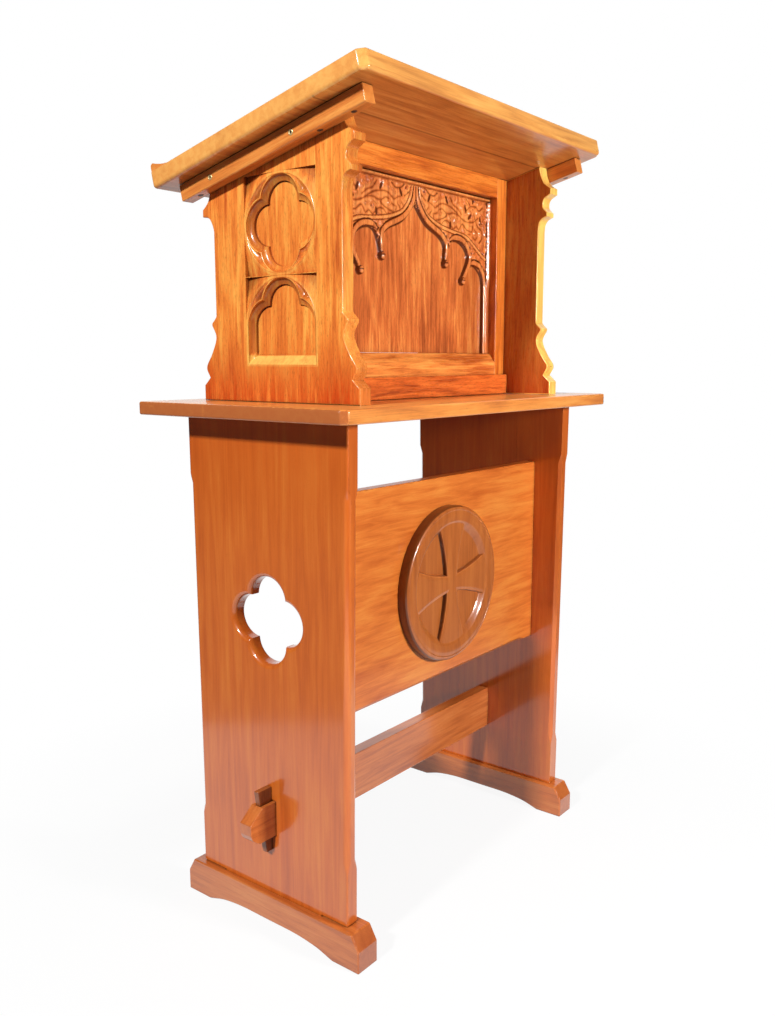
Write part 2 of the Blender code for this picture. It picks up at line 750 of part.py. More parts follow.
def eye(centre, flip_y, flip_z):
    """The sunk eye between the circle and two neighbouring lobes."""
    ring = TRACERY_CIRCLE - EYE_RIM
    lobe = TRACERY_LOBE + EYE_FILLET
    offset = TRACERY_OFFSET
    start = math.acos(min(1.0, (ring ** 2 + offset ** 2 - lobe ** 2) / (2 * ring * offset)))
    start = min(max(start, math.radians(6)), math.radians(40))
    cusp = (offset + math.sqrt(2 * lobe ** 2 - offset ** 2)) / 2
    first = math.degrees(math.atan2(ring * math.sin(start), ring * math.cos(start) - offset))
    last = math.degrees(math.atan2(cusp, cusp - offset))
    lower = arc((offset, 0.0), lobe, first, last, 4)
    upper = [(z, y) for y, z in lower]
    points = arc((0.0, 0.0), ring, math.degrees(start), 90 - math.degrees(start), 6)
    points += upper[1:] + lower[-2:0:-1]
    return [(centre[0] + flip_y * y, centre[1] + flip_z * z) for y, z in points]


def sunk_rings(sign, outline, sunk, taper):
    middle = Vector((sum(y for y, z in outline), sum(z for y, z in outline))) / len(outline)
    rings = []
    for depth, share in ((-PASS, 0.0), (TRACERY_QUIRK, 0.0), (sunk, taper)):
        x = sign * (DESK_OUTER - depth)
        ring = [Vector(point).lerp(middle, share) for point in outline]
        rings.append([(x, y, z) for y, z in ring])
    return rings


def make_desk_side(side, sign):
    name = f"{side}_desk_side"
    mesh = plate_mesh(name, desk_side_outline(), DESK_SIDE_THICK, "yz", smooth=True, fineness=4)
    board = add(name, mesh, RUSSET, at=(sign * DESK_MIDDLE, 0.0, 0.0))
    rose = (TRACERY_SET, SHELF_TOP + TRACERY_LEVEL)
    head = (TRACERY_SET, SHELF_TOP + ARCH_SPRING)

    def rose_shape(inset):
        return quatrefoil(rose, TRACERY_LOBE - inset, TRACERY_OFFSET, 8)

    def head_shape(inset):
        sill = SHELF_TOP + ARCH_SILL + ARCH_SILL_RISE * inset / TRACERY_HOLLOW
        return trefoil_head(head, TRACERY_LOBE - inset, TRACERY_OFFSET, sill, 8)

    for title, shape in (("rose", rose_shape), ("arch", head_shape)):
        tool_name = f"{name}_{title}"
        cut(board, add(tool_name, loft_mesh(tool_name, hollow_rings(sign, shape)), None))
    corners = [(rose, -1, 1), (rose, -1, -1), (rose, 1, -1), (head, -1, 1), (head, 1, 1)]
    for number, corner in enumerate(corners):
        tool_name = f"{name}_spandrel_{number}"
        rings = sunk_rings(sign, spandrel(*corner), SPANDREL_SUNK, SPANDREL_TAPER)
        cut(board, add(tool_name, loft_mesh(tool_name, rings), None))
    for number, corner in enumerate(corners + [(rose, 1, 1)]):
        tool_name = f"{name}_eye_{number}"
        rings = sunk_rings(sign, eye(*corner), EYE_SUNK, EYE_TAPER)
        cut(board, add(tool_name, loft_mesh(tool_name, rings), None))
    for title, place in SIDE_SCREW_PLACES.items():
        cut(board, side_screw_hole(f"{name}_{title}_pilot", sign, place))


# Book board, ledge and bearers, in the sloping frame of the board's underside
def make_book_board():
    outline = clipped(BOARD_WIDTH, BOARD_LENGTH, BOARD_CLIP, BOARD_BACK_CLIP)
    mesh = plate_mesh("book_board", outline, BOARD_THICK, "xy")
    board = add("book_board", mesh, AMBER, at=(0.0, -BOARD_LENGTH / 2, BOARD_THICK / 2), parent=slope)
    ease(board, BOARD_ROUND, 2)
    half = BOARD_WIDTH / 2 + PASS
    low = (-half, -LEDGE_WIDTH - GAP, BOARD_THICK - LEDGE_SEAT)
    high = (half, PASS, BOARD_THICK + PASS)
    cut(board, add("book_board_seat", box_mesh("book_board_seat", [(low, high)]), None, parent=slope))
    for side, sign in SIDES.items():
        for title, place in BOARD_SCREW_PLACES.items():
            cut(board, board_screw_hole(f"book_board_{side}_{title}_pilot", sign, place))


def make_book_ledge():
    """A stop let into the low edge: upright behind, rounded on top, hollowed down to the board."""
    low = BOARD_THICK + GAP
    high = low + LEDGE_RISE
    outline = [(-LEDGE_WIDTH, low - LEDGE_SEAT), (0.0, low - LEDGE_SEAT)]
    outline += arc((-LEDGE_ROUND, high - LEDGE_ROUND), LEDGE_ROUND, 0, 90, 6)
    for i in range(1, 7):
        share = i / 6
        inward = -LEDGE_ROUND - (LEDGE_WIDTH - LEDGE_ROUND) * share
        outline.append((inward, low + LEDGE_TOE + (LEDGE_RISE - LEDGE_TOE) * (1 - share) ** LEDGE_HOLLOW))
    length = BOARD_WIDTH - 2 * BOARD_BACK_CLIP
    add("book_ledge", plate_mesh("book_ledge", outline, length, "yz"), AMBER, parent=slope)


def make_bearer(side, sign):
    name = f"{side}_bearer"
    inner = DESK_OUTER + GAP
    faces = sorted((sign * inner, sign * (inner + BEARER_WIDTH)))
    low = (faces[0], -BEARER_START - BEARER_LENGTH, -GAP - BEARER_DEPTH)
    high = (faces[1], -BEARER_START, -GAP)
    bearer = add(name, box_mesh(name, [(low, high)]), HONEY, parent=slope)
    ease(bearer, BEARER_ROUND)
    for title, place in SIDE_SCREW_PLACES.items():
        cut(bearer, side_screw_hole(f"{name}_{title}_side_hole", sign, place))
    for title, place in BOARD_SCREW_PLACES.items():
        cut(bearer, board_screw_hole(f"{name}_{title}_board_hole", sign, place))


# Countersunk screws and the holes that they fill
def screw_profile(length, extra, proud):
    head = SCREW_HEAD + extra
    shank = SCREW_SHANK + extra
    profile = [(0.0, proud)]
    if proud > 0:
        profile.append((head, proud))
    profile += [(head, -extra), (shank, -SCREW_CONE - extra), (shank, -length * 0.85 - extra),
                (0.0, -length - 2 * extra)]
    return profile


def side_screw_place(sign, place):
    return {
        "at": (sign * (DESK_OUTER + GAP + BEARER_WIDTH), -place, -GAP - BEARER_DEPTH / 2),
        "turn": (0.0, sign * math.pi / 2, 0.0),
        "parent": slope,
    }


def board_screw_place(sign, place):
    return {
        "at": (sign * (DESK_OUTER + GAP + BEARER_WIDTH / 2), -place, -GAP - BEARER_DEPTH),
        "turn": (math.pi, 0.0, 0.0),
        "parent": slope,
    }


def screw_tool(name, length, where):
    tool = add(name, turned_mesh(name, screw_profile(length, GAP, PASS)), None, **where)
    spin(tool, 10)
    return tool


def side_screw_hole(name, sign, place):
    return screw_tool(name, SIDE_SCREW_LENGTH, side_screw_place(sign, place))


def board_screw_hole(name, sign, place):
    return screw_tool(name, BOARD_SCREW_LENGTH, board_screw_place(sign, place))


def make_screws(side, sign):
    for title, place in SIDE_SCREW_PLACES.items():
        name = f"{side}_{title}_side_screw"
        mesh = turned_mesh(name, screw_profile(SIDE_SCREW_LENGTH, 0.0, 0.0))
        spin(add(name, mesh, BRASS, **side_screw_place(sign, place)), 10)
    for title, place in BOARD_SCREW_PLACES.items():
        name = f"{side}_{title}_board_screw"
        mesh = turned_mesh(name, screw_profile(BOARD_SCREW_LENGTH, 0.0, 0.0))
        spin(add(name, mesh, STEEL, **board_screw_place(sign, place)), 10)


# Front frame of the desk
def groove(extra):
    """Front and back of the frame's groove, or of the tongue that fills it."""
    front = FRAME_FRONT + TONGUE_START
    return front - extra, front + TONGUE_THICK + extra


def panel_limits():
    """Half width, bottom and top of the opening that the carved panel fills."""
    top = under_board(FRAME_FRONT) - TOP_RAIL
    return STILE_INNER, SHELF_TOP + BOTTOM_RAIL + SILL_RISE, top


def make_stile(side, sign):
    name = f"{side}_frame_stile"
    low = SHELF_TOP + GAP
    slack = GAP / math.cos(BOARD_SLOPE)
    outline = [(FRAME_FRONT, low), (FRAME_BACK, low), (FRAME_BACK, under_board(FRAME_BACK) - slack),
               (FRAME_FRONT, under_board(FRAME_FRONT) - slack)]
    middle = sign * (STILE_INNER + STILE_WIDTH / 2)
    stile = add(name, plate_mesh(name, outline, STILE_WIDTH, "yz"), AMBER, at=(middle, 0.0, 0.0))
    front, back = groove(GAP)
    faces = sorted((sign * (STILE_INNER - PASS), sign * (STILE_INNER + GROOVE_DEPTH + GAP)))
    high = BOARD_LOW_Z + BOARD_LENGTH
    slot = box_mesh(f"{name}_groove", [((faces[0], front, low - PASS), (faces[1], back, high))])
    cut(stile, add(f"{name}_groove", slot, None))


def make_rail(name, outline):
    """A rail between the stiles, with tongues that enter their grooves."""
    reach = STILE_INNER + GROOVE_DEPTH
    rail = add(name, plate_mesh(name, outline, 2 * reach, "yz"), AMBER)
    front, back = groove(0.0)
    low = SHELF_TOP - PASS
    high = BOARD_LOW_Z + BOARD_LENGTH
    boxes = []
    for sign in SIDES.values():
        faces = sorted((sign * (STILE_INNER - GAP), sign * (reach + PASS)))
        boxes.append(((faces[0], FRAME_FRONT - PASS, low), (faces[1], front, high)))
        boxes.append(((faces[0], back, low), (faces[1], FRAME_BACK + PASS, high)))
    cut(rail, add(f"{name}_shoulders", box_mesh(f"{name}_shoulders", boxes), None))


def make_rails():
    _, sill, top = panel_limits()
    slack = GAP / math.cos(BOARD_SLOPE)
    front, back = groove(GAP)
    roof = top + GROOVE_DEPTH + GAP
    upper = [(FRAME_FRONT, top), (front, top), (front, roof), (back, roof), (back, top), (FRAME_BACK, top),
             (FRAME_BACK, under_board(FRAME_BACK) - slack), (FRAME_FRONT, under_board(FRAME_FRONT) - slack)]
    make_rail("frame_top_rail", upper)
    low = SHELF_TOP + GAP
    floor = sill - GROOVE_DEPTH - GAP
    lower = [(FRAME_FRONT, low), (FRAME_BACK, low), (FRAME_BACK, sill), (back, sill), (back, floor),
             (front, floor), (front, sill), (CARVING_FACE, sill), (FRAME_FRONT, SHELF_TOP + BOTTOM_RAIL)]
    make_rail("frame_bottom_rail", lower)


def make_plinth_rail():
    half = DESK_INNER - GAP
    low = (-half, FRAME_FRONT - GAP - PLINTH_THICK, SHELF_TOP + GAP)
    high = (half, FRAME_FRONT - GAP, SHELF_TOP + PLINTH_HEIGHT)
    plinth = add("plinth_rail", box_mesh("plinth_rail", [(low, high)]), RUSSET)
    ease(plinth, 0.001)


# Carved panel: a cusped ogee arch whose cusps end in balls
def ogee_opening(half, sill, top):
    """Half the arch from the sill to its point; heights are given down from the panel's top."""
    jamb = half - CARVING_JAMB
    return [
        (jamb, sill, "corner"),
        (jamb, top - 0.158, "corner"),
        (jamb - 0.006, top - 0.129, "round"),
        (jamb - 0.031, top - 0.113, "round"),
        (jamb - 0.050, top - 0.120, "round"),
        (OUTER_CUSP[0] + 0.004, top - OUTER_CUSP[1], "corner"),
        (OUTER_CUSP[0] - 0.003, top - OUTER_CUSP[1], "corner"),
        (0.150, top - 0.104, "round"),
        (0.137, top - 0.085, "round"),
        (0.111, top - 0.077, "round"),
        (0.093, top - 0.088, "round"),
        (INNER_CUSP[0] + 0.003, top - INNER_CUSP[1], "corner"),
        (INNER_CUSP[0] - 0.004, top - INNER_CUSP[1], "corner"),
        (0.079, top - 0.089, "round"),
        (0.064, top - 0.075, "round"),
        (0.028, top - 0.060, "round"),
        (0.0, top - 0.034, "corner"),
    ]


def make_carved_panel():
    half, sill, top = panel_limits()
    front, back = groove(0.0)
    face = rectangle(-half + GAP, sill + GAP, half - GAP, top - GAP)
    tongue = GROOVE_DEPTH - GAP
    edge = rectangle(-half - tongue, sill - tongue, half + tongue, top + tongue)
    block = plate_mesh("tracery_panel", face, back - CARVING_FACE, "xz")
    panel = add("tracery_panel", block, RUSSET, at=(0.0, (CARVING_FACE + back) / 2, 0.0))
    rim = plate_mesh("panel_tongue", edge, back - front, "xz")
    cut(panel, add("panel_tongue", rim, None, at=(0.0, (front + back) / 2, 0.0)), "UNION")
    floor = CARVING_FACE + CARVING_DEPTH
    opening = mirrored(ogee_opening(half, sill - PASS, top))
    sunk = plate_mesh("ogee_opening", opening, CARVING_DEPTH + PASS, "xz", smooth=True, fineness=4)
    cut(panel, add("ogee_opening", sunk, None, at=(0.0, floor - (CARVING_DEPTH + PASS) / 2, 0.0)))
    bm = bmesh.new()
    for x, down in (INNER_CUSP, OUTER_CUSP):
        for sign in (-1, 1):
            place = Matrix.Translation((sign * x, CARVING_FACE + CUSP_BALL * 0.5, top - down))
            bmesh.ops.create_uvsphere(bm, u_segments=10, v_segments=6, radius=CUSP_BALL, matrix=place)
    balls = bpy.data.meshes.new("cusp_balls")
    bm.to_mesh(balls)
    bm.free()
    cut(panel, add("cusp_balls", balls, None), "UNION")


make_stretcher()
make_apron()
make_roundel()
make_shelf()
make_book_board()
make_book_ledge()
make_rails()
make_plinth_rail()
make_carved_panel()
for side_name, side_sign in SIDES.items():
    make_foot(side_name, side_sign)
    make_end_panel(side_name, side_sign)
    make_wedge(side_name, side_sign)
    make_desk_side(side_name, side_sign)
    make_stile(side_name, side_sign)
    make_bearer(side_name, side_sign)
    make_screws(side_name, side_sign)
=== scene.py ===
import json
import math

import bmesh
import bpy
import numpy as np
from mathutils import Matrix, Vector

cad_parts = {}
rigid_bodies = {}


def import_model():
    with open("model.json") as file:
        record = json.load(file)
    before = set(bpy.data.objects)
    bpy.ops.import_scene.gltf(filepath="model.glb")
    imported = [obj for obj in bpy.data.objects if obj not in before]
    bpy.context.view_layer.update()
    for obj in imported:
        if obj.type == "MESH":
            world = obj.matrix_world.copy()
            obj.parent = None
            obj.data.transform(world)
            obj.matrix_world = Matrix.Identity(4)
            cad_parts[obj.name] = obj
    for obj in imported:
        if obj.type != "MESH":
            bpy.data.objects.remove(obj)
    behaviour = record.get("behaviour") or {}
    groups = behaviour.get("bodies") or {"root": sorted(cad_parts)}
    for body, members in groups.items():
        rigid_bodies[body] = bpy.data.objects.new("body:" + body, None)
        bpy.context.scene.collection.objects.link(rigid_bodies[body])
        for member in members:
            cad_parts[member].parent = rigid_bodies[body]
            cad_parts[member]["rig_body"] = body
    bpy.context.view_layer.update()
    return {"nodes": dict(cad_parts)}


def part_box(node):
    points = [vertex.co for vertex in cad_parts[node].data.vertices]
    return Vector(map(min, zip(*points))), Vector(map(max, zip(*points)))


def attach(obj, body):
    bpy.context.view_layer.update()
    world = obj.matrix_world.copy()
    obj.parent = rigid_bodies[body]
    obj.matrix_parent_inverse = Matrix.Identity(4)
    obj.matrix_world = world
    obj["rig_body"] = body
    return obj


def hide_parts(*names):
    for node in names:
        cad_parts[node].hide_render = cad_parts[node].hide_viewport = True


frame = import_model()
nodes = frame["nodes"]
shelfLow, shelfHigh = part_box("shelf")
standY = (shelfLow.y + shelfHigh.y) / 2  # the stand's middle, as the CAD pieces are set out from it
boardTilt = 13.54  # slope of the book board in degrees
print("frame loaded:", len(nodes), "nodes")


# Shader sockets: sums and products of sockets and numbers become Math nodes
class Sock:
    def __init__(self, tree, socket):
        self.tree = tree
        self.socket = socket

    def node(self, kind, settings, inputs, out=0):
        made = self.tree.nodes.new(kind)
        for key, value in settings.items():
            if key == "stops":
                self.setStops(made.color_ramp, value)
            else:
                setattr(made, key, value)
        for key, value in inputs.items():
            if isinstance(value, Sock):
                self.tree.links.new(value.socket, made.inputs[key])
            else:
                made.inputs[key].default_value = value
        return Sock(self.tree, made.outputs[out])

    def setStops(self, ramp, stops):
        while len(ramp.elements) < len(stops):
            ramp.elements.new(1.0)
        for element, (place, colour) in zip(ramp.elements, stops):
            element.position = place
            element.color = (*colour, 1.0)

    def math(self, operation, first, second):
        return self.node("ShaderNodeMath", {"operation": operation}, {0: first, 1: second})

    def __add__(self, other):
        return self.math("ADD", self, other)

    def __radd__(self, other):
        return self.math("ADD", other, self)

    def __sub__(self, other):
        return self.math("SUBTRACT", self, other)

    def __rsub__(self, other):
        return self.math("SUBTRACT", other, self)

    def __mul__(self, other):
        return self.math("MULTIPLY", self, other)

    def __rmul__(self, other):
        return self.math("MULTIPLY", other, self)

    def size(self):
        return self.node("ShaderNodeMath", {"operation": "ABSOLUTE"}, {0: self})

    def axis(self, number):
        return self.node("ShaderNodeSeparateXYZ", {}, {0: self}, out=number)

    def clip(self, low, high):
        # rises from 0 at low to 1 at high
        return self.node("ShaderNodeMapRange", {"interpolation_type": "SMOOTHSTEP"},
                         {"Value": self, "From Min": low, "From Max": high})

    def tint(self, colour, amount, blend="MIX"):
        # this colour with another laid over it by amount
        return self.node("ShaderNodeMix", {"data_type": "RGBA", "blend_type": blend},
                         {0: amount, 6: self, 7: colour}, out=2)


def newMaterial(name):
    made = bpy.data.materials.new(name)
    made.use_nodes = True
    tree = made.node_tree
    shader = tree.nodes["Principled BSDF"]
    place = tree.nodes.new("ShaderNodeTexCoord")
    return made, shader, Sock(tree, place.outputs["Object"])


def feed(shader, name, sock):
    sock.tree.links.new(sock.socket, shader.inputs[name])


# Wood: slow streaks, growth rings, fine hairs and short dark flecks along the grain, dirt and painted shade
# in corners, pale edges of wear and painted highlight. A cell is a pattern's size across the grain and a
# stretch its length in cells; a share is how much it sways the tone; an edge gives the two values between
# which it fades in
woodFigure = {
    "streakCell": 0.0050, "streakStretch": 34.0, "streakShare": 0.95, "streakEdge": (0.35, 0.65),
    "ringCell": 0.050, "ringStretch": 14.0, "rings": 7.0, "ringShare": 0.14,
    "hairCell": 0.0014, "hairStretch": 50.0, "hairShare": 0.28,
    "fleckCell": 0.0008, "fleckStretch": 10.0, "fleckEdge": (0.58, 0.70),
    "blotchCell": 0.09, "blotchStretch": 2.2, "blotchShare": 0.60,
    "endEdge": (0.5, 0.8), "endCalm": 0.7, "toneStops": (0.22, 0.5, 0.78),
    "brown": 0.25, "grimeReach": 0.016, "grimeEdge": (0.28, 0.95),
    "bright": 1.35, "wearAndHighlightReach": 0.0030, "wearAndHighlightEdge": (0.45, 0.95), "wearAndHighlight": 0.35,
    "glueLine": (0.0004, 0.0024), "glueTint": 0.6, "paintedShadeTint": 0.95, "reliefDepth": 0.0006,
    "specular": 0.25, "coatIor": 1.6,
}
grainAlong = {
    "x": {"along": (1, 0, 0), "tilt": (0.0, 0.0, 0.0)},
    "y": {"along": (0, 1, 0), "tilt": (0.0, 0.0, 0.0)},
    "z": {"along": (0, 0, 1), "tilt": (0.0, 0.0, 0.0)},
    "slope": {"along": (0, 1, 0), "tilt": (math.radians(-boardTilt), 0.0, 0.0)},
}
# the darkening is full at the first height and gone at the second, by the third number's strength; the desk
# sides grow darker towards the bottom, the end panels take painted shade towards the top, under the shelf
darkBands = {"side": (0.765, 0.880, 0.85), "honey": (0.745, 0.56, 0.25)}
joints = {"book_board_wood": -0.1105}  # place, front to back, where two planks of the board are glued
# colours as red, green and blue from 0 to 255; figure and flecks are strengths, length and cell stretch and
# widen the streaks, end darkens or lightens the faces cut across the grain, and the darkening in corners is
# dirt and painted shade
woodFinish = {
    "flecks": 0.15, "roughness": 0.34, "coat": 0.45, "coatRoughness": 0.15, "bump": 0.10, "length": 0.9,
    "cell": 1.8, "end": -0.08, "grime": 0.85,
}


def newWood(pale, mid, deep, figure, **finish):
    # a wood names only what differs from the common finish
    return {"pale": pale, "mid": mid, "deep": deep, "figure": figure, **woodFinish, **finish}


woods = {
    "honey": newWood((224, 126, 46), (208, 102, 31), (180, 78, 20), 0.68, flecks=0.08, coat=1.00,
                     coatRoughness=0.13, bump=0.06, length=1.2, cell=2.4, grime=0.7),
    "foot": newWood((222, 136, 70), (206, 112, 50), (168, 80, 33), 0.9, flecks=0.12, roughness=0.36,
                    coat=0.90, coatRoughness=0.16, length=0.8, end=-0.10, grime=0.5),
    "apron": newWood((236, 146, 62), (222, 120, 46), (194, 92, 30), 0.9, flecks=0.08, roughness=0.36,
                     bump=0.06, length=0.6, cell=2.0),
    "board": newWood((246, 174, 90), (224, 136, 62), (182, 96, 42), 0.95, end=0.02),
    "bearer": newWood((240, 166, 84), (218, 130, 58), (176, 92, 40), 0.95, end=0.02, grime=1.0),
    "shelf": newWood((246, 168, 86), (230, 138, 62), (178, 92, 46), 1.0, coat=0.60, end=-0.36),
    "frame": newWood((242, 150, 62), (220, 118, 42), (176, 80, 28), 1.3, flecks=0.30, roughness=0.30,
                     coat=0.35, coatRoughness=0.16, bump=0.20, length=0.6, cell=1.4),
    "sill": newWood((255, 182, 92), (242, 144, 66), (196, 98, 42), 1.3, flecks=0.30, roughness=0.30,
                    coat=0.35, coatRoughness=0.16, bump=0.20, length=0.6, cell=1.4),
    "side": newWood((255, 182, 84), (240, 137, 56), (194, 88, 35), 1.05, flecks=0.40, roughness=0.28,
                    coat=0.35, bump=0.18, length=0.6, cell=1.6),
    "carved": newWood((246, 152, 76), (218, 114, 54), (170, 82, 38), 1.25, flecks=0.36, roughness=0.24,
                      coat=0.50, coatRoughness=0.12, bump=0.24, length=0.5, cell=1.3),
    "plinth": newWood((240, 128, 54), (216, 102, 40), (164, 70, 28), 1.3, flecks=0.40, roughness=0.30,
                      coat=0.35, bump=0.20, length=0.5, cell=1.4),
    "nut": newWood((202, 118, 54), (182, 98, 42), (146, 74, 29), 0.7, flecks=0.12, roughness=0.32, coat=0.50,
                   coatRoughness=0.12, bump=0.08, cell=2.0),
    "wedge": newWood((170, 98, 50), (142, 76, 36), (104, 52, 23), 0.9, flecks=0.3, coat=0.40, bump=0.12,
                     length=0.5, cell=1.5, end=0.30),
}
# grain direction, wood and rounding of the arrises for every board
boardLooks = {
    "left_end_panel": ("z", "honey", 0.0026), "right_end_panel": ("z", "honey", 0.0026),
    "left_foot": ("y", "foot", 0.0022), "right_foot": ("y", "foot", 0.0022),
    "apron_panel": ("x", "apron", 0.0015), "stretcher": ("x", "foot", 0.0015),
    "book_ledge": ("x", "board", 0.0010),
    "left_bearer": ("slope", "bearer", 0.0010), "right_bearer": ("slope", "bearer", 0.0010),
    "left_frame_stile": ("z", "frame", 0.0012), "right_frame_stile": ("z", "frame", 0.0012),
    "frame_top_rail": ("x", "frame", 0.0012), "frame_bottom_rail": ("x", "sill", 0.0012),
    "plinth_rail": ("x", "plinth", 0.0015), "left_tusk_wedge": ("z", "wedge", 0.0010),
    "right_tusk_wedge": ("z", "wedge", 0.0010),
}


def linear(colour):
    # screen values to light
    share = np.array(colour) / 255.0
    return tuple(np.where(share <= 0.04045, share / 12.92, ((share + 0.055) / 1.055) ** 2.4))


def grainField(place, turn, shift, cell, stretch, detail, distortion=0.0):
    # noise on cells of the given size across the grain, drawn out along it
    long = tuple(cell * stretch if axis else cell for axis in turn["along"])
    spot = place.node("ShaderNodeMapping", {"vector_type": "TEXTURE"},
                      {"Vector": place, "Location": shift, "Rotation": turn["tilt"], "Scale": long})
    return spot.node("ShaderNodeTexNoise", {"noise_dimensions": "3D"},
                     {"Vector": spot, "Scale": 1.0, "Detail": detail, "Roughness": 0.6,
                      "Distortion": distortion})


def varnishedWood(name, grain, wood, carved=False):
    made, shader, place = newMaterial(name)
    turn, look, figure = grainAlong[grain], woods[wood], woodFigure
    seed = sum(map(ord, name)) % 23 + 1  # every piece is cut from another place in the tree
    shift = (seed * 0.37, seed * 0.53, seed * 0.71)
    pale, mid, deep = (linear(look[key]) for key in ("pale", "mid", "deep"))
    brown = tuple(channel * figure["brown"] for channel in deep) + (1.0,)
    bright = tuple(min(1.0, channel * figure["bright"] + 0.03) for channel in pale) + (1.0,)
    length, cell = look["length"], look["cell"]
    streak = grainField(place, turn, shift, figure["streakCell"] * cell,
                        figure["streakStretch"] * length / cell, 4.0, 0.6)
    slow = grainField(place, turn, shift, figure["ringCell"], figure["ringStretch"] * length, 1.5, 0.3)
    ring = slow.math("PINGPONG", slow * figure["rings"], 0.5) * 2.0
    hair = grainField(place, turn, shift, figure["hairCell"], figure["hairStretch"] * length, 2.0)
    fleck = grainField(place, turn, shift, figure["fleckCell"], figure["fleckStretch"], 1.0)
    blotch = grainField(place, turn, shift, figure["blotchCell"], figure["blotchStretch"], 3.0)
    facing = place.node("ShaderNodeNewGeometry", {}, {}, out=1)
    end = facing.node("ShaderNodeVectorMath", {"operation": "DOT_PRODUCT"},
                      {0: facing, 1: turn["along"]}, out=1)
    end = end.size().clip(*figure["endEdge"])
    mix = (figure["streakShare"] * (streak - 0.5) + figure["hairShare"] * (hair - 0.5)
           + figure["ringShare"] * (ring - 0.5))
    calm = mix * (1.0 - figure["endCalm"] * end) + figure["blotchShare"] * (blotch - 0.5)
    tone = 0.5 + look["figure"] * calm + look["end"] * end
    stops = list(zip(figure["toneStops"], (deep, mid, pale)))
    colour = tone.node("ShaderNodeValToRGB", {"stops": stops}, {"Fac": tone})
    dark = fleck.clip(*figure["fleckEdge"]) * look["flecks"]
    colour = colour.tint(brown, dark)
    # ambient occlusion darkens corners, creases and joints: dirt and painted shade
    near = place.node("ShaderNodeAmbientOcclusion", {"samples": 6}, {"Distance": figure["grimeReach"]}, out=1)
    colour = colour.tint(brown, (1.0 - near).clip(*figure["grimeEdge"]) * look["grime"])
    # convex edges are paled: wear and painted highlight
    edge = place.node("ShaderNodeAmbientOcclusion", {"samples": 6, "inside": True, "only_local": True},
                      {"Distance": figure["wearAndHighlightReach"]}, out=1)
    patchy = streak.clip(*figure["streakEdge"])  # worn, highlighted and paler places follow the streaks
    edgeTint = (1.0 - edge).clip(*figure["wearAndHighlightEdge"]) * (0.25 + 0.75 * patchy)
    colour = colour.tint(bright, edgeTint * figure["wearAndHighlight"])
    if wood in darkBands:
        # darker by height: on the desk sides towards the bottom, on the end panels painted shade under the
        # shelf
        full, gone, amount = darkBands[wood]
        above = place.axis(2).clip(full, gone)
        colour = colour.tint(deep + (1.0,), (1.0 - above) * amount * streak.clip(0.3, 0.6), "MULTIPLY")
    if name in joints:
        gap = (place.axis(1) - (joints[name] + standY)).size()
        below = (0.0 - facing.axis(2)).clip(*figure["endEdge"])
        colour = colour.tint(brown, (1.0 - gap.clip(*figure["glueLine"])) * below * figure["glueTint"])
    if carved:
        # the vertex tint: brown for painted shade, bright for painted highlight and light
        sunk = place.node("ShaderNodeAttribute", {"attribute_name": "sunk"}, {}, out=2)
        colour = colour.tint(brown, sunk.clip(0.0, 1.0) * figure["paintedShadeTint"])
        colour = colour.tint(bright, (0.0 - sunk).clip(0.0, 1.0) * (0.60 + 0.40 * patchy))
    feed(shader, "Base Color", colour)
    feed(shader, "Roughness", look["roughness"] + 0.14 * (hair - 0.5) + 0.12 * (blotch - 0.5))
    relief = 0.6 * hair + 0.4 * streak - 0.8 * dark
    bump = {"Strength": look["bump"], "Distance": figure["reliefDepth"], "Height": relief}
    feed(shader, "Normal", relief.node("ShaderNodeBump", {}, bump))
    shader.inputs["Specular IOR Level"].default_value = figure["specular"]
    shader.inputs["Coat Weight"].default_value = look["coat"]
    shader.inputs["Coat Roughness"].default_value = look["coatRoughness"]
    shader.inputs["Coat IOR"].default_value = figure["coatIor"]
    return made


def bodyOf(node):
    return nodes[node]["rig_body"]


def addObject(name, data):
    made = bpy.data.objects.new(name, data)
    bpy.context.scene.collection.objects.link(made)
    return made


def dress(piece, node):
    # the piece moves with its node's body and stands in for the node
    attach(piece, bodyOf(node))
    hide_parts(node)
    return piece


# Quatrefoil in the end panels: its lip is rounded more on the outside than on the inside
foilLook = {
    "height": 0.4643, "lobe": 0.0338, "offset": 0.0322, "squeeze": 0.945, "outer": 0.0085, "inner": 0.0030,
    "overlap": 0.0012, "skin": 0.00003, "samples": 240, "clear": 0.082,
}


def lobeReach(angle, lobe, offset):
    # distance from the middle to the nearest of four circles set off along the axes
    away = (angle + math.pi / 4) % (math.pi / 2) - math.pi / 4
    return offset * np.cos(away) + np.sqrt(lobe ** 2 - (offset * np.sin(away)) ** 2)


def inFoil(spot):
    # distance from the quatrefoil's middle and angle round it, with its squeeze taken out
    y, z = spot.y - standY, (spot.z - foilLook["height"]) / foilLook["squeeze"]
    return math.hypot(y, z), math.atan2(z, y)


def widenFoil(bm, node):
    # the copied panel's hole steps back to where the rounded lip begins
    low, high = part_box(node)
    middle = (low.x + high.x) / 2
    for vert in bm.verts:
        reach, angle = inFoil(vert.co)
        if reach < foilLook["clear"]:
            lip = foilLook["outer"] if abs(vert.co.x) > abs(middle) else foilLook["inner"]
            grown = lobeReach(angle, foilLook["lobe"] + lip, foilLook["offset"])
            vert.co.y = standY + grown * math.cos(angle)
            vert.co.z = foilLook["height"] + grown * math.sin(angle) * foilLook["squeeze"]


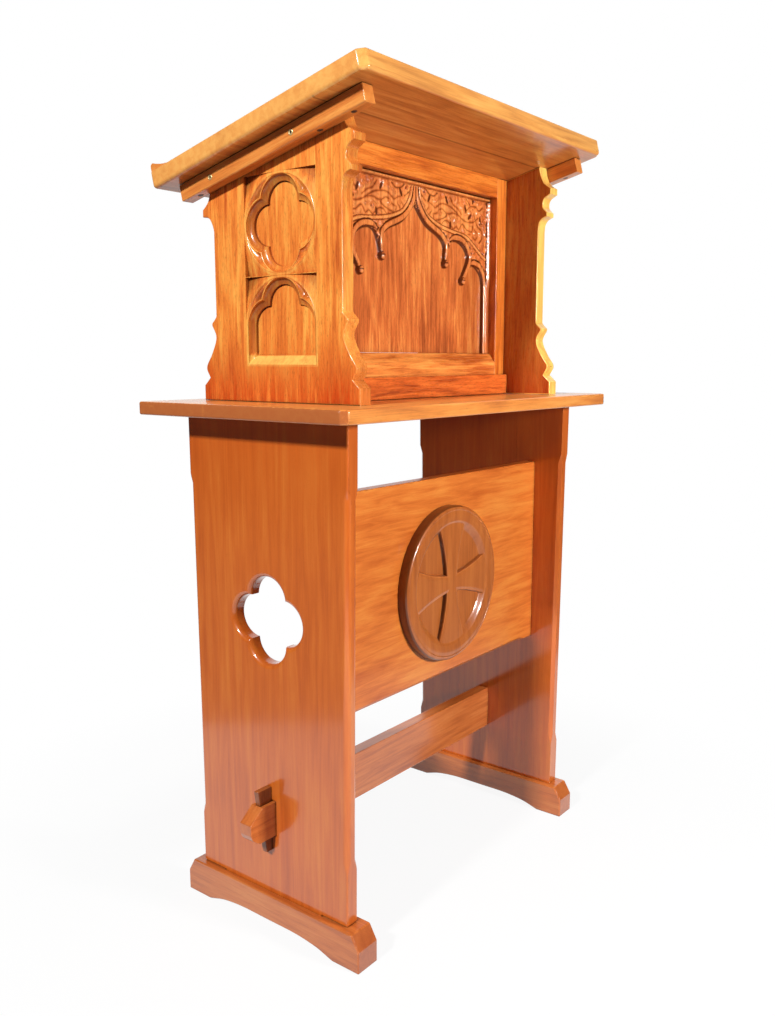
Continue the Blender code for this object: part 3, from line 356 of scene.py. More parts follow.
def makeFoilLip(node, sign, material):
    # rings follow the four lobes; from ring to ring the lobes shrink by a quarter round, run straight through
    # the board and grow again
    look = foilLook
    low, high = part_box(node)
    face, thick = (high.x if sign > 0 else low.x), high.x - low.x
    outer, inner = look["outer"], look["inner"]
    wide, slim = outer + look["overlap"], inner + look["overlap"]  # the lip reaches into the board
    bend = np.linspace(0.0, math.pi / 2, 9)
    fromBack = thick - inner * (1 - np.sin(bend))
    grow = np.concatenate([[wide], outer * (1 - np.sin(bend)), inner * (1 - np.cos(bend)), [slim, wide]])
    deep = np.concatenate([[0.0], outer * (1 - np.cos(bend)), fromBack, [thick, 0.0]])
    deep = np.clip(deep, look["skin"], thick - look["skin"])
    turn = np.linspace(0.0, 2 * math.pi, look["samples"], endpoint=False)
    reach = np.stack([lobeReach(turn, look["lobe"] + more, look["offset"]) for more in grow])
    x = np.repeat((face - sign * deep)[:, None], len(turn), axis=1)
    y = standY + reach * np.cos(turn)
    z = look["height"] + reach * np.sin(turn) * look["squeeze"]
    spots = np.stack([x, y, z], axis=-1).reshape(-1, 3)
    faces = gridFaces(len(grow), len(turn), closed=True)
    return newPiece(node + "_foil_lip", spots, faces, material, node, sharp=50.0)


# Plain boards: a merged copy of the CAD solid whose arrises are rounded over
def roundedBoard(node):
    grain, wood, width = boardLooks[node]
    mesh = nodes[node].data.copy()
    mesh.name = node + "_rounded"
    bm = bmesh.new()
    bm.from_mesh(mesh)
    bmesh.ops.remove_doubles(bm, verts=bm.verts, dist=1e-5)
    bmesh.ops.dissolve_limit(bm, angle_limit=math.radians(1.0), verts=bm.verts, edges=bm.edges)
    pierced = node.endswith("end_panel")
    if pierced:
        widenFoil(bm, node)
    weight = bm.edges.layers.float.new("bevel_weight_edge")
    for edge in bm.edges:
        rim = pierced and inFoil(edge.verts[0].co)[0] < foilLook["clear"] + foilLook["outer"]
        arris = len(edge.link_faces) == 2 and edge.is_convex and edge.calc_face_angle() > math.radians(25.0)
        edge[weight] = 1.0 if arris and not rim else 0.0
    bm.to_mesh(mesh)
    bm.free()
    if "custom_normal" in mesh.attributes:
        mesh.attributes.remove(mesh.attributes["custom_normal"])
    mesh.shade_smooth()
    board = addObject(node + "_board", mesh)
    bevel = board.modifiers.new("arris", "BEVEL")
    bevel.width = width
    bevel.segments = 3
    bevel.limit_method = "WEIGHT"
    bevel.use_clamp_overlap = True
    bevel.miter_outer = "MITER_ARC"
    flat = board.modifiers.new("flat_faces", "WEIGHTED_NORMAL")
    flat.weight = 100
    mesh.materials.clear()
    mesh.materials.append(varnishedWood(node + "_wood", grain, wood))
    return dress(board, node)


# Surfaces: vertices are worked out as whole arrays, faces as quads between neighbouring rows and columns
def gridFaces(rows, columns, start=0, closed=False):
    across = columns if closed else columns - 1
    row, column = np.meshgrid(np.arange(rows - 1), np.arange(across), indexing="ij")
    following = (column + 1) % columns
    here, above = row * columns, (row + 1) * columns
    corners = [here + column, here + following, above + following, above + column]
    return (np.stack(corners, axis=-1).reshape(-1, 4) + start).tolist()


def smoothRise(value, low, high):
    # from 0 at low to 1 at high, level at both ends
    share = np.clip((value - low) / (high - low), 0.0, 1.0)
    return share * share * (3.0 - 2.0 * share)


def throughPoints(points, steps):
    # Catmull-Rom curve: each span is a cubic whose end slopes come from the neighbouring points
    knots = np.array(points, float)
    padded = np.vstack([2 * knots[0] - knots[1], knots, 2 * knots[-1] - knots[-2]])
    share = np.linspace(0.0, 1.0, steps, endpoint=False)[:, None]
    before, here, after, beyond = (padded[i:len(padded) - 3 + i, None, :] for i in range(4))
    square = 2 * before - 5 * here + 4 * after - beyond
    cube = 3 * here - before - 3 * after + beyond
    curve = 0.5 * (2 * here + (after - before) * share + square * share ** 2 + cube * share ** 3)
    return np.vstack([curve.reshape(-1, knots.shape[1]), knots[-1:]])


def nearest(spots, chain):
    # distance from every spot to a chain of straight pieces, and the share of the chain passed at its foot
    best = np.full(len(spots), 1e9)
    passed = np.zeros(len(spots))
    for number in range(len(chain) - 1):
        start = chain[number]
        step = chain[number + 1] - start
        share = np.clip((spots - start) @ step / max(step @ step, 1e-18), 0.0, 1.0)
        gap = np.hypot(*(spots - start - share[:, None] * step).T)
        closer = gap < best
        best[closer] = gap[closer]
        passed[closer] = (number + share[closer]) / (len(chain) - 1)
    return best, passed


def newPiece(name, vertices, faces, material, node, sharp=40.0, sunk=None):
    # the vertex tint: towards 1 brown, mostly painted shade, towards -1 bright with painted highlight and
    # light
    mesh = bpy.data.meshes.new(name)
    mesh.from_pydata(np.asarray(vertices).tolist(), [], faces)
    if sunk is not None:
        layer = mesh.attributes.new("sunk", "FLOAT", "POINT")
        layer.data.foreach_set("value", np.asarray(sunk, float).ravel())
    bm = bmesh.new()
    bm.from_mesh(mesh)
    bmesh.ops.remove_doubles(bm, verts=bm.verts, dist=2e-6)
    bmesh.ops.dissolve_degenerate(bm, edges=bm.edges, dist=2e-6)
    bmesh.ops.recalc_face_normals(bm, faces=bm.faces)
    bm.to_mesh(mesh)
    bm.free()
    mesh.shade_smooth()
    mesh.set_sharp_from_angle(angle=math.radians(sharp))
    mesh.materials.append(material)
    return dress(addObject(name, mesh), node)


# Shelf and book board: a rounded rectangle with clipped corners, drawn in along a quarter round over and
# under; three tints paint light on the edge, light on the top face and shade on the under face
plateLooks = {
    "shelf": {
        "wood": "shelf", "width": 0.702, "length": 0.392, "thick": 0.019, "clip": 0.008, "backClip": 0.003,
        "corner": 0.0042, "over": 0.0030, "under": 0.0030, "back": (0.196, 0.749), "tilt": 0.0,
        "paintedEdgeLight": 0.16, "above": -0.50, "below": 0.0,
    },
    "book_board": {
        "wood": "board", "width": 0.6164, "length": 0.4046, "thick": 0.0253, "clip": 0.009,
        "backClip": 0.0035, "corner": 0.0055, "over": 0.0030, "under": 0.0055, "back": (0.199, 1.0665),
        "tilt": boardTilt, "paintedEdgeLight": 0.42, "above": 0.0, "below": 0.34,
    },
}


def makePlate(node):
    look = plateLooks[node]
    half, long, corner = look["width"] / 2, look["length"], look["corner"]
    clip, cut = look["clip"], look["backClip"]
    right = np.array([(half - cut, 0.0), (half, cut), (half, long - clip), (half - clip, long)])
    outline = np.vstack([right, right[::-1] * (-1, 1)])
    edge = np.roll(outline, -1, axis=0) - outline
    away = np.arctan2(-edge[:, 0], edge[:, 1])  # heading of each edge's outward normal
    before = np.roll(away, 1)
    swing = (away - before + math.pi) % (2 * math.pi) - math.pi
    turn = before[:, None] + swing[:, None] * np.linspace(0.0, 1.0, 6)
    heading = np.stack([np.cos(turn), np.sin(turn)], axis=-1).reshape(-1, 2)
    core = np.repeat(inset(outline, corner), 6, axis=0)
    bend = np.linspace(0.0, math.pi / 2, 7)
    over, under = look["over"], look["under"]
    drawn = np.concatenate([over * (1 - np.sin(bend)), under * (1 - np.cos(bend))])
    height = np.concatenate([look["thick"] - over * (1 - np.cos(bend)), under * (1 - np.sin(bend))])
    flat = core[None] + (corner - drawn)[:, None, None] * heading[None]
    up = np.repeat(height[:, None], len(core), axis=1)
    tilt = math.radians(look["tilt"])
    y = look["back"][0] + standY - flat[..., 1] * math.cos(tilt) + up * math.sin(tilt)
    z = look["back"][1] + flat[..., 1] * math.sin(tilt) + up * math.cos(tilt)
    spots = np.stack([flat[..., 0], y, z], axis=-1).reshape(-1, 3)
    rows, count = up.shape
    top, bottom = tuple(range(count)), tuple(range(rows * count - 1, (rows - 1) * count - 1, -1))
    faces = gridFaces(rows, count, closed=True) + [top, bottom]
    # painted light on the edge band and the top face, painted shade on the under face
    tint = (np.abs(np.arange(rows) - (rows - 1) / 2) < rows / 2 - 2) * -look["paintedEdgeLight"]
    tint[0], tint[-1] = look["above"], look["below"]
    material = varnishedWood(node + "_wood", "x", look["wood"], carved=True)
    return newPiece(node + "_plate", spots, faces, material, node, sharp=35.0, sunk=np.repeat(tint, count))


# Roundel: a disc whose height over the apron is a function of radius and angle
roundelLook = {
    "radius": 0.123, "proud": 0.0165, "edgeRound": 0.0070, "rim": 0.024, "lip": 0.0110, "lean": 0.0012,
    "crestDrop": 0.0006, "field": 0.0082, "dish": 0.0020, "armTop": 0.0136, "armRound": 0.0008,
    "waist": 0.0130, "flare": 0.0375, "flarePower": 1.8, "spokes": 640, "rings": 120, "edgeGrid": 0.004,
    "rimShade": 0.65, "fieldShade": 0.12, "paintedEdgeLight": 0.40,
}


def armHalf(away, inner):
    # half the width of an arm of the cross at a distance from the middle, and the share of the way out
    look = roundelLook
    share = np.clip(np.abs(away) / inner, 0.0, 1.2)
    return look["waist"] + (look["flare"] - look["waist"]) * share ** look["flarePower"], share


def roundelHeight(radius, angle):
    # outer quarter round, a flat crest that leans to an inner lip, a hollow down to the field, then the cross
    look = roundelLook
    outer = look["radius"] - look["edgeRound"]
    inner = look["radius"] - look["rim"]
    side = np.clip((radius - outer) / look["edgeRound"], 0.0, 1.0)
    height = look["proud"] - look["edgeRound"] * (1.0 - np.sqrt(np.clip(1.0 - side ** 2, 0.0, 1.0)))
    crown = np.clip((radius - inner) / (outer - inner), 0.0, 1.0)
    crest = look["lean"] * (1.0 - crown) ** 2 + look["crestDrop"] * smoothRise(crown, 0.5, 1.0)
    height = height - crest * (radius < outer)
    straight = np.clip(1.0 - (inner - radius) / look["lip"], 0.0, 1.0)
    fall = 0.4 * smoothRise(radius, inner - look["lip"], inner) + 0.6 * straight
    floor = look["field"] - look["dish"] * (1.0 - (np.minimum(radius, inner) / inner) ** 3)
    height = np.where(radius < inner, floor + (look["proud"] - look["lean"] - floor) * fall, height)
    along = radius * np.cos(angle)
    across = radius * np.sin(angle)
    edge = np.full(radius.shape, -1.0)
    for a, b in ((along, across), (across, along)):
        width, share = armHalf(a, inner)
        power = look["flarePower"]
        slope = (look["flare"] - look["waist"]) * power * share ** (power - 1.0) / inner
        edge = np.maximum(edge, (width - np.abs(b)) / np.sqrt(1.0 + slope ** 2))
    arm = smoothRise(edge, -0.0012, 0.0002)
    top = look["armTop"] - look["armRound"] * (1.0 - smoothRise(edge, 0.0, 0.006))
    cross = np.maximum(height, floor + (top - floor) * arm)
    return np.where(radius < inner - 0.001, cross, height)


def makeRoundel(material):
    look = roundelLook
    low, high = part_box("cross_roundel")
    middleZ = (low.z + high.z) / 2
    inner = look["radius"] - look["rim"]
    turned = look["radius"] - look["edgeGrid"]  # from here on rings stand closer towards the edge
    reach = np.concatenate([np.linspace(0.0, inner, int(look["rings"] * 0.7), endpoint=False),
                            np.linspace(inner, turned, int(look["rings"] * 0.2), endpoint=False),
                            look["radius"] - look["edgeGrid"] * np.cos(np.linspace(0.0, math.pi / 2, 12))])
    turn = np.linspace(0.0, 2 * math.pi, look["spokes"], endpoint=False)
    radius, angle = np.meshgrid(reach, turn, indexing="ij")
    height = roundelHeight(radius, angle)
    radius = np.vstack([radius, radius[-1:], radius[-1:] * 0.0])  # side wall and back
    angle = np.vstack([angle, angle[-1:], angle[-1:]])
    height = np.vstack([height, height[-1:] * 0.0, height[-1:] * 0.0])
    x, z = radius * np.cos(angle), radius * np.sin(angle)
    spots = np.stack([x, high.y - height, middleZ + z], axis=-1)
    # how far inside the arms of the cross
    level, upright = (armHalf(a, inner)[0] - np.abs(b) for a, b in ((x, z), (z, x)))
    edge = np.maximum(level, upright)
    within = 1.0 - smoothRise(radius, inner - look["lip"], inner - look["lip"] * 0.4)
    foot = smoothRise(edge, -0.0036, -0.0012) * (1.0 - smoothRise(edge, -0.0006, 0.0004))
    # painted shade on the walls that face left and in the sunk fields, painted highlight on the arms' arrises
    dark = foot * np.where(upright > level, x < 0.0, 0.4 * (z > 0.0) * (x > 0.0))
    pale = smoothRise(edge, -0.0004, 0.0006) * (1.0 - smoothRise(edge, 0.0010, 0.0024))
    sunk = (np.maximum(dark, look["fieldShade"] * (edge < 0.0)) - look["paintedEdgeLight"] * pale) * within
    wall = (radius > look["radius"] - look["edgeRound"] * 0.35) & (np.cos(angle) < 0.2)
    sunk = np.where(wall, look["rimShade"], sunk)  # painted shade on the shaded side of the rim
    sunk[-1:] = 0.0
    faces = gridFaces(len(radius), look["spokes"], closed=True)
    return newPiece("roundel_carved", spots.reshape(-1, 3), faces, material, "cross_roundel", sunk=sunk)


# Desk side: shaped edges, a sunk rose over a sunk arch; rings run from the board's face down to the fields
deskLook = {
    "thick": 0.0232, "setBack": 0.0042, "base": 0.299, "shaft": 0.2415, "arris": 0.0018, "roseY": -0.0055,
    "roseZ": 1.0075, "archZ": 0.8726, "sillZ": 0.8205, "sillRise": 0.0135, "square": 0.0670, "circle": 0.0660,
    "lobe": 0.0363, "offset": 0.0280, "fieldLobe": 0.0278, "deep": 0.0110, "step": 0.0036, "fillet": 0.0013,
    "rim": 0.0020, "eyeDeep": 0.0050, "eyeWide": 0.0105, "cornerDeep": 0.0075, "samples": 320,
    "gap": 0.0003, "underY": 0.197, "underZ": 1.067,
}
# tints of the desk sides: positive darkens, as painted shade in the hollow, along the field's edge and on the
# inner face, and as a darker field and top of the left front edge; negative is painted highlight on the
# ridges and front edges and painted light on the arch's sill
deskTints = {
    "ridge": -0.35, "sill": -0.70, "field": 0.12, "hollow": (0.12, 0.50), "fieldEdge": (0.25, 0.75),
    "inside": 0.50, "rightEdgeHighlight": -0.95, "leftEdgeHighlight": -0.25, "leftTopDarker": 0.60, "darkerFrom": 1.015,
    "darkerTo": 1.045,
}
boardSlope = math.tan(math.radians(boardTilt))


def underBoard(y):
    # height of the book board's underside over a place from back to front
    return deskLook["underZ"] + (deskLook["underY"] - y) * boardSlope


def deskOutline():
    # out from the middle and up from the shelf; three numbers per point, the last 1 at a corner
    look = deskLook
    base, shaft, shelf, gap = look["base"] / 2, look["shaft"] / 2, shelfHigh.z, look["gap"]
    foot = [(base, 0.0, 1), (base, 0.0215, 1), (base - 0.012, 0.0325, 1), (shaft + 0.0235, 0.048, 0),
            (shaft + 0.0115, 0.067, 0), (shaft + 0.0015, 0.090, 0), (shaft + 0.0095, 0.1075, 1),
            (shaft + 0.0095, 0.1105, 1), (shaft + 0.001, 0.119, 0), (shaft, 0.124, 1)]
    top = underBoard(look["setBack"] - shaft) - shelf
    front = [(shaft, top - 0.104, 1), (shaft + 0.0015, top - 0.0925, 0), (shaft + 0.0065, top - 0.085, 0),
             (shaft + 0.016, top - 0.081, 1), (shaft + 0.016, top - 0.0745, 1),
             (shaft + 0.008, top - 0.065, 0), (shaft + 0.010, top - 0.053, 0),
             (shaft + 0.022, top - 0.0455, 1), (shaft + 0.022, top - 0.036, 1),
             (shaft + 0.0095, top - 0.027, 0), (shaft + 0.003, top - 0.014, 0), (shaft, top - gap, 1)]
    top = underBoard(look["setBack"] + shaft + 0.003) - shelf
    back = [(shaft, top - 0.077, 1), (shaft + 0.003, top - 0.068, 0), (shaft + 0.010, top - 0.058, 0),
            (shaft + 0.0225, top - 0.0555, 1), (shaft + 0.0225, top - 0.0455, 1),
            (shaft + 0.011, top - 0.035, 0), (shaft + 0.005, top - 0.018, 0),
            (shaft + 0.003, top - gap, 1)]

    def trace(points):
        # corners cut the chain into runs; each run is one smooth curve
        marks = [number for number, point in enumerate(points) if point[2]]
        runs = [throughPoints([point[:2] for point in points[a:b + 1]], 6 if b - a > 1 else 2)[:-1]
                for a, b in zip(marks, marks[1:])]
        return np.vstack(runs + [np.array([points[-1][:2]])])

    ahead, behind = trace(foot + front), trace(foot + back)
    ahead = np.column_stack([look["setBack"] - ahead[:, 0], shelf + gap + ahead[:, 1]])
    behind = np.column_stack([look["setBack"] + behind[:, 0], shelf + gap + behind[:, 1]])
    return np.vstack([ahead, behind[::-1]])


def inset(outline, amount):
    # each corner moves inward along the middle of its two edges' normals
    edge = np.roll(outline, -1, axis=0) - outline
    onward = np.roll(edge, -1, axis=0)
    normal = np.column_stack([-edge[:, 1], edge[:, 0]]) / np.maximum(np.hypot(*edge.T), 1e-9)[:, None]
    turn = np.sum(edge[:, 0] * onward[:, 1] - edge[:, 1] * onward[:, 0])
    normal = normal if turn > 0 else -normal
    both = normal + np.roll(normal, 1, axis=0)
    length = np.maximum(np.sum(both * normal, axis=1), 0.6)
    return outline + amount * both / length[:, None]


def tracerySamples():
    # bands from the square in to the field, as radius and depth for every angle
    look = deskLook
    angle = np.linspace(0.0, 2 * math.pi, look["samples"], endpoint=False)
    level = np.ones_like(angle)
    square = look["square"] / np.maximum(np.abs(np.cos(angle)), np.abs(np.sin(angle)))
    ring = np.minimum(look["circle"], square)
    inner = ring - look["rim"]
    lobe = np.minimum(lobeReach(angle, look["lobe"], look["offset"]), inner)
    crest = np.minimum(lobeReach(angle, look["lobe"] + look["fillet"], look["offset"]), inner)
    field = lobeReach(angle, look["fieldLobe"], look["offset"])
    corner = np.clip((square - ring) / (look["square"] * (math.sqrt(2) - 1)), 0.0, 1.0)
    eye = np.clip((inner - crest) / look["eyeWide"], 0.0, 1.0)
    bands = [(square, square * 0.0)]
    for share in (0.0, 0.25, 0.5, 0.75, 1.0):  # sunk corners of the square
        reach = square + (ring - square) * share - 0.00015 * (corner > 0.02)
        depth = look["cornerDeep"] * corner * (1.0 - share) + 0.0004 * share
        bands.append((reach, depth * np.minimum(1.0, corner * 12)))
    for share in (0.2, 0.5, 0.8, 1.0):  # rounded ring
        bands.append((ring + (inner - ring) * share, 0.0007 * (2 * share - 1) ** 2 * level))
    for share, fall in ((0.06, 0.45), (0.3, 0.8), (0.55, 1.0), (0.8, 0.7), (0.95, 0.35), (1.0, 0.0)):  # eyes
        bands.append((inner + (crest - inner) * share, 0.0003 + look["eyeDeep"] * eye * fall))
    for share in (0.35, 0.75, 1.0):  # fillet along the lobes
        bands.append((crest + (lobe - crest) * share, 0.0003 + 0.0006 * share ** 2 * level))
    hollow = look["deep"] - look["step"] - 0.0009
    for bend in np.radians(np.linspace(8, 90, 9)):
        bands.append((lobe + (field - lobe) * (1 - np.cos(bend)), 0.0009 + hollow * np.sin(bend) * level))
    for reach in (field - 0.0003, field - 0.0020, field * 0.5):
        bands.append((reach, look["deep"] * level))
    return angle, bands


def roseRings():
    look = deskLook
    angle, bands = tracerySamples()
    across, up = np.cos(angle), np.sin(angle)
    return [np.column_stack([look["roseY"] + reach * across, look["roseZ"] + reach * up, depth])
            for reach, depth in bands]


def archRings():
    # the head keeps the rose's upper half; jambs and sill carry its side section down and across
    look = deskLook
    angle, bands = tracerySamples()
    half = look["samples"] // 2
    down = np.linspace(0.0, 1.0, 16)[1:]
    over = np.linspace(-1.0, 1.0, 26)[1:-1]
    edge = look["offset"] + look["lobe"]
    span = edge - (look["offset"] + look["fieldLobe"])
    sillTop = look["sillZ"] + look["sillRise"]
    rings = []
    for reach, depth in bands:
        y = look["roseY"] + reach[:half + 1] * np.cos(angle[:half + 1])
        z = look["archZ"] + reach[:half + 1] * np.sin(angle[:half + 1])
        side, level = reach[0], depth[0]
        slope = look["sillRise"] * np.minimum((edge - side) / span, 1.0)
        low = look["sillZ"] + np.where(side < edge, slope, edge - side)
        if edge - span - 0.003 < side < edge - span - 0.001:
            low = sillTop + 0.0018
        elif side <= edge - span - 0.003:
            low = look["archZ"] - (look["archZ"] - sillTop) * 0.5
        sill = level if side >= edge else min(look["deep"], look["deep"] * (edge - side) / span)
        drop = look["archZ"] + (low - look["archZ"]) * down
        left = np.column_stack([np.full(len(down), look["roseY"] - side), drop])
        across = np.column_stack([look["roseY"] + side * over, np.full(len(over), low)])
        right = np.column_stack([np.full(len(down), look["roseY"] + side), drop])[::-1]
        flat = np.vstack([np.column_stack([y, z]), left, across, right])
        jamb = np.full(len(down) - 1, level)
        deep = np.concatenate([depth[:half + 1], jamb, np.full(len(over) + 2, sill), jamb])
        rings.append(np.column_stack([flat, deep]))
    return rings


def stackRings(rings, start, middle):
    # quads between rings, then triangles to one middle point
    count = len(rings[0])
    vertices = np.vstack(rings + [np.array([middle])])
    faces = gridFaces(len(rings), count, start, closed=True)
    last = start + (len(rings) - 1) * count
    hub = start + len(vertices) - 1
    faces += [(last + i, last + (i + 1) % count, hub) for i in range(count)]
    return vertices, faces


def fillFace(loops, start):
    # flat triangles between an outline and the holes in it
    bm = bmesh.new()
    for loop in loops:
        made = [bm.verts.new((*spot[:2], 0.0)) for spot in loop]
        for a, b in zip(made, made[1:] + made[:1]):
            bm.edges.new((a, b))
    bmesh.ops.triangle_fill(bm, use_beauty=True, edges=bm.edges)
    bm.verts.index_update()
    vertices = np.array([(*vert.co[:2], 0.0) for vert in bm.verts])
    faces = [tuple(vert.index + start for vert in face.verts) for face in bm.faces]
    bm.free()
    return vertices, faces


def traceryTint(vertices, middle, fieldEdge):
    # painted shade lies on the upper and back parts of the hollow and along the field's edge, painted
    # highlight on the ridges and painted light on the arch's sill; the field is darker
    look, tints = deskLook, deskTints
    y, z, depth = vertices.T
    field = depth > look["deep"] - 0.0001
    ridge = (depth > 0.0001) & (depth < 0.0010)
    turn = np.arctan2(z - middle[1], y - middle[0])
    shade = 0.5 + 0.5 * np.cos(turn - math.radians(60))
    inHollow, inEdge = (least + more * shade for least, more in (tints["hollow"], tints["fieldEdge"]))
    hollow = smoothRise(depth, 0.0012, 0.0045) * ~field
    tint = np.where(ridge, tints["ridge"], inHollow * hollow)
    tint = np.where(field, np.where(fieldEdge, inEdge, tints["field"]), tint)
    sill = (z < look["sillZ"] + look["sillRise"] + 0.0005) & (z > look["sillZ"] - 0.0010) & (depth > 0.00005)
    return np.where(sill & ~field, tints["sill"], tint)


def makeDeskSide(side, sign, material):
    look, tints = deskLook, deskTints
    outline = deskOutline()
    rose, arch = roseRings(), archRings()
    parts, faces, sunk = [], [], []

    def laid():
        return sum(map(len, parts))

    def lay(vertices, made, tint):
        parts.append(vertices)
        faces.extend(made)
        sunk.append(tint)

    for rings, middleZ in ((rose, look["roseZ"]), (arch, look["archZ"] - 0.010)):
        middle = (look["roseY"], middleZ)
        vertices, made = stackRings(rings, laid(), (*middle, look["deep"]))
        fieldEdge = np.zeros(len(vertices), bool)
        fieldEdge[-1 - 3 * len(rings[0]):-1 - 2 * len(rings[0])] = True
        lay(vertices, made, traceryTint(vertices, middle, fieldEdge))
    curve = np.linspace(0.0, math.pi / 2, 5)
    edges = [(look["arris"] * (1 - np.sin(turn)), look["arris"] * (1 - np.cos(turn))) for turn in curve]
    edges += [(away, look["thick"] - depth) for away, depth in edges[::-1]]
    walls = [np.column_stack([inset(outline, away), np.full(len(outline), depth)]) for away, depth in edges]
    vertices = np.vstack(walls)
    ring = np.repeat(np.arange(len(walls)), len(outline))
    front = (vertices[:, 0] < look["setBack"] - look["shaft"] / 2 + 0.002) & (ring > 0)
    # the left front edge is darker towards the top
    darkerTop = tints["leftTopDarker"] * smoothRise(vertices[:, 1], tints["darkerFrom"], tints["darkerTo"])
    edgeTint = tints["rightEdgeHighlight"] if sign > 0 else darkerTop + tints["leftEdgeHighlight"]  # painted highlight on the front edges; the left one darker towards the top
    # painted shade on the inner arris, painted highlight on the front edges
    tint = np.where(ring == len(walls) - 1, tints["inside"], np.where(front, edgeTint, 0.0))
    lay(vertices, gridFaces(len(walls), len(outline), laid(), closed=True), tint)
    vertices, made = fillFace([walls[0], rose[0], arch[0]], laid())
    lay(vertices, made, np.zeros(len(vertices)))
    vertices, made = fillFace([walls[-1]], laid())
    vertices[:, 2] = look["thick"]
    lay(vertices, made, np.full(len(vertices), tints["inside"]))  # painted shade on the face towards the books
    flat = np.vstack(parts)
    low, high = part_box(side + "_desk_side")
    face = high.x if sign > 0 else low.x
    spots = np.column_stack([face - sign * flat[:, 2], flat[:, 0] + standY, flat[:, 1]])
    piece = newPiece(side + "_desk_side_carved", spots, faces, material, side + "_desk_side", sharp=38.0,
                     sunk=np.concatenate(sunk))
    level = piece.modifiers.new("flat_faces", "WEIGHTED_NORMAL")
    level.keep_sharp = True
    level.weight = 100
    return piece


# Carved panel: a sheet whose height over the sunk field is a function of place, the same on both sides of
# the middle; places are across from the middle and up from the floor
panelLook = {
    "half": 0.2086, "low": 0.8374, "top": 1.0951, "plainTo": 0.930, "fieldY": -0.0340, "ground": 0.0034,
    "cell": 0.0009, "roll": 0.0048, "rollRise": 0.0064, "ridge": 0.0024, "ridgeRise": 0.0020, "bevel": 0.0080,
    "bevelFoot": 0.0044, "bevelRise": 0.0031, "bevelSlope": 0.66, "quirk": 0.0016, "topBead": 0.0028,
    "ball": 0.0068, "cut": 0.0026, "cutWidth": 0.0013, "pillow": 0.0042, "pillowReach": 0.0075,
    "lobes": 0.0012, "knobRise": 0.55, "slitLength": 0.0072, "slitWidth": 0.0029, "slitDeep": 0.0055,
    "toolMarks": 0.0002,
}
# tints of the panel: positive is painted shade in the cuts, slits and quirk, beside the ridge and rolls,
# under the top bead, on the bevel's top and along the arch's foot in the field, and a field that darkens to
# its margins; negative is painted highlight on the knobs, leaf edges, bevel, bead, ridge and rolls and
# painted light on the leaves
panelTints = {
    "cut": 0.95, "slitShade": 1.5, "knobLight": -0.30, "leafEdgeHighlight": -0.22, "leafShaded": -0.12, "leafLit": -0.25,
    "field": 0.10, "fieldMargin": 0.22, "bevelHighlight": -0.2, "bevelTopShade": 0.3, "quirk": 0.6, "bead": -0.45,
    "underBeadShadow": 0.5, "ridge": -0.6, "besideRidgeShade": 0.7, "roll": -0.3, "besideRollShade": 1.0, "foot": 1.2,
}
archRuns = [
    [(0.1925, 0.80), (0.1925, 0.944)],
    [(0.1925, 0.944), (0.188, 0.966), (0.167, 0.9815), (0.150, 0.976), (0.1345, 0.957)],
    [(0.1345, 0.957), (0.1275, 0.957)],
    [(0.1275, 0.957), (0.146, 0.991), (0.135, 1.0095), (0.111, 1.0175), (0.094, 1.008), (0.0845, 0.981)],
    [(0.0845, 0.981), (0.0775, 0.981)],
    [(0.0775, 0.981), (0.0785, 1.005), (0.064, 1.0195), (0.028, 1.0345), (0.0, 1.0605)],
]
# rolls along the arch: points, then shares of the full width at the start, in the middle and at the end
rollChains = [
    ([(0.0030, 1.0960), (0.0034, 1.078), (0.0060, 1.066), (0.0165, 1.0515), (0.031, 1.0395), (0.048, 1.0318),
      (0.0665, 1.0245), (0.0800, 1.015), (0.0838, 1.003), (0.0825, 0.992), (0.0812, 0.983)],
     (0.55, 1.0, 0.70)),
    ([(0.0935, 1.0165), (0.100, 1.0205), (0.111, 1.0222), (0.127, 1.0205), (0.141, 1.0125), (0.1505, 0.998),
      (0.1495, 0.985), (0.1425, 0.973), (0.136, 0.964), (0.1312, 0.9585)], (0.45, 1.0, 0.70)),
    ([(0.1545, 0.9840), (0.159, 0.986), (0.167, 0.9862), (0.181, 0.982), (0.1915, 0.970), (0.1962, 0.952),
      (0.1966, 0.940), (0.1966, 0.830)], (0.45, 1.0, 1.0)),
]
ridgeChain = [
    (0.0085, 1.0950), (0.0100, 1.080), (0.0150, 1.066), (0.0270, 1.0515), (0.041, 1.0435), (0.070, 1.0350),
    (0.105, 1.0300), (0.140, 1.0255), (0.165, 1.0125), (0.182, 1.0025), (0.1985, 0.9945),
]
ballPlaces = [(0.0810, 0.9780), (0.1308, 0.9545)]
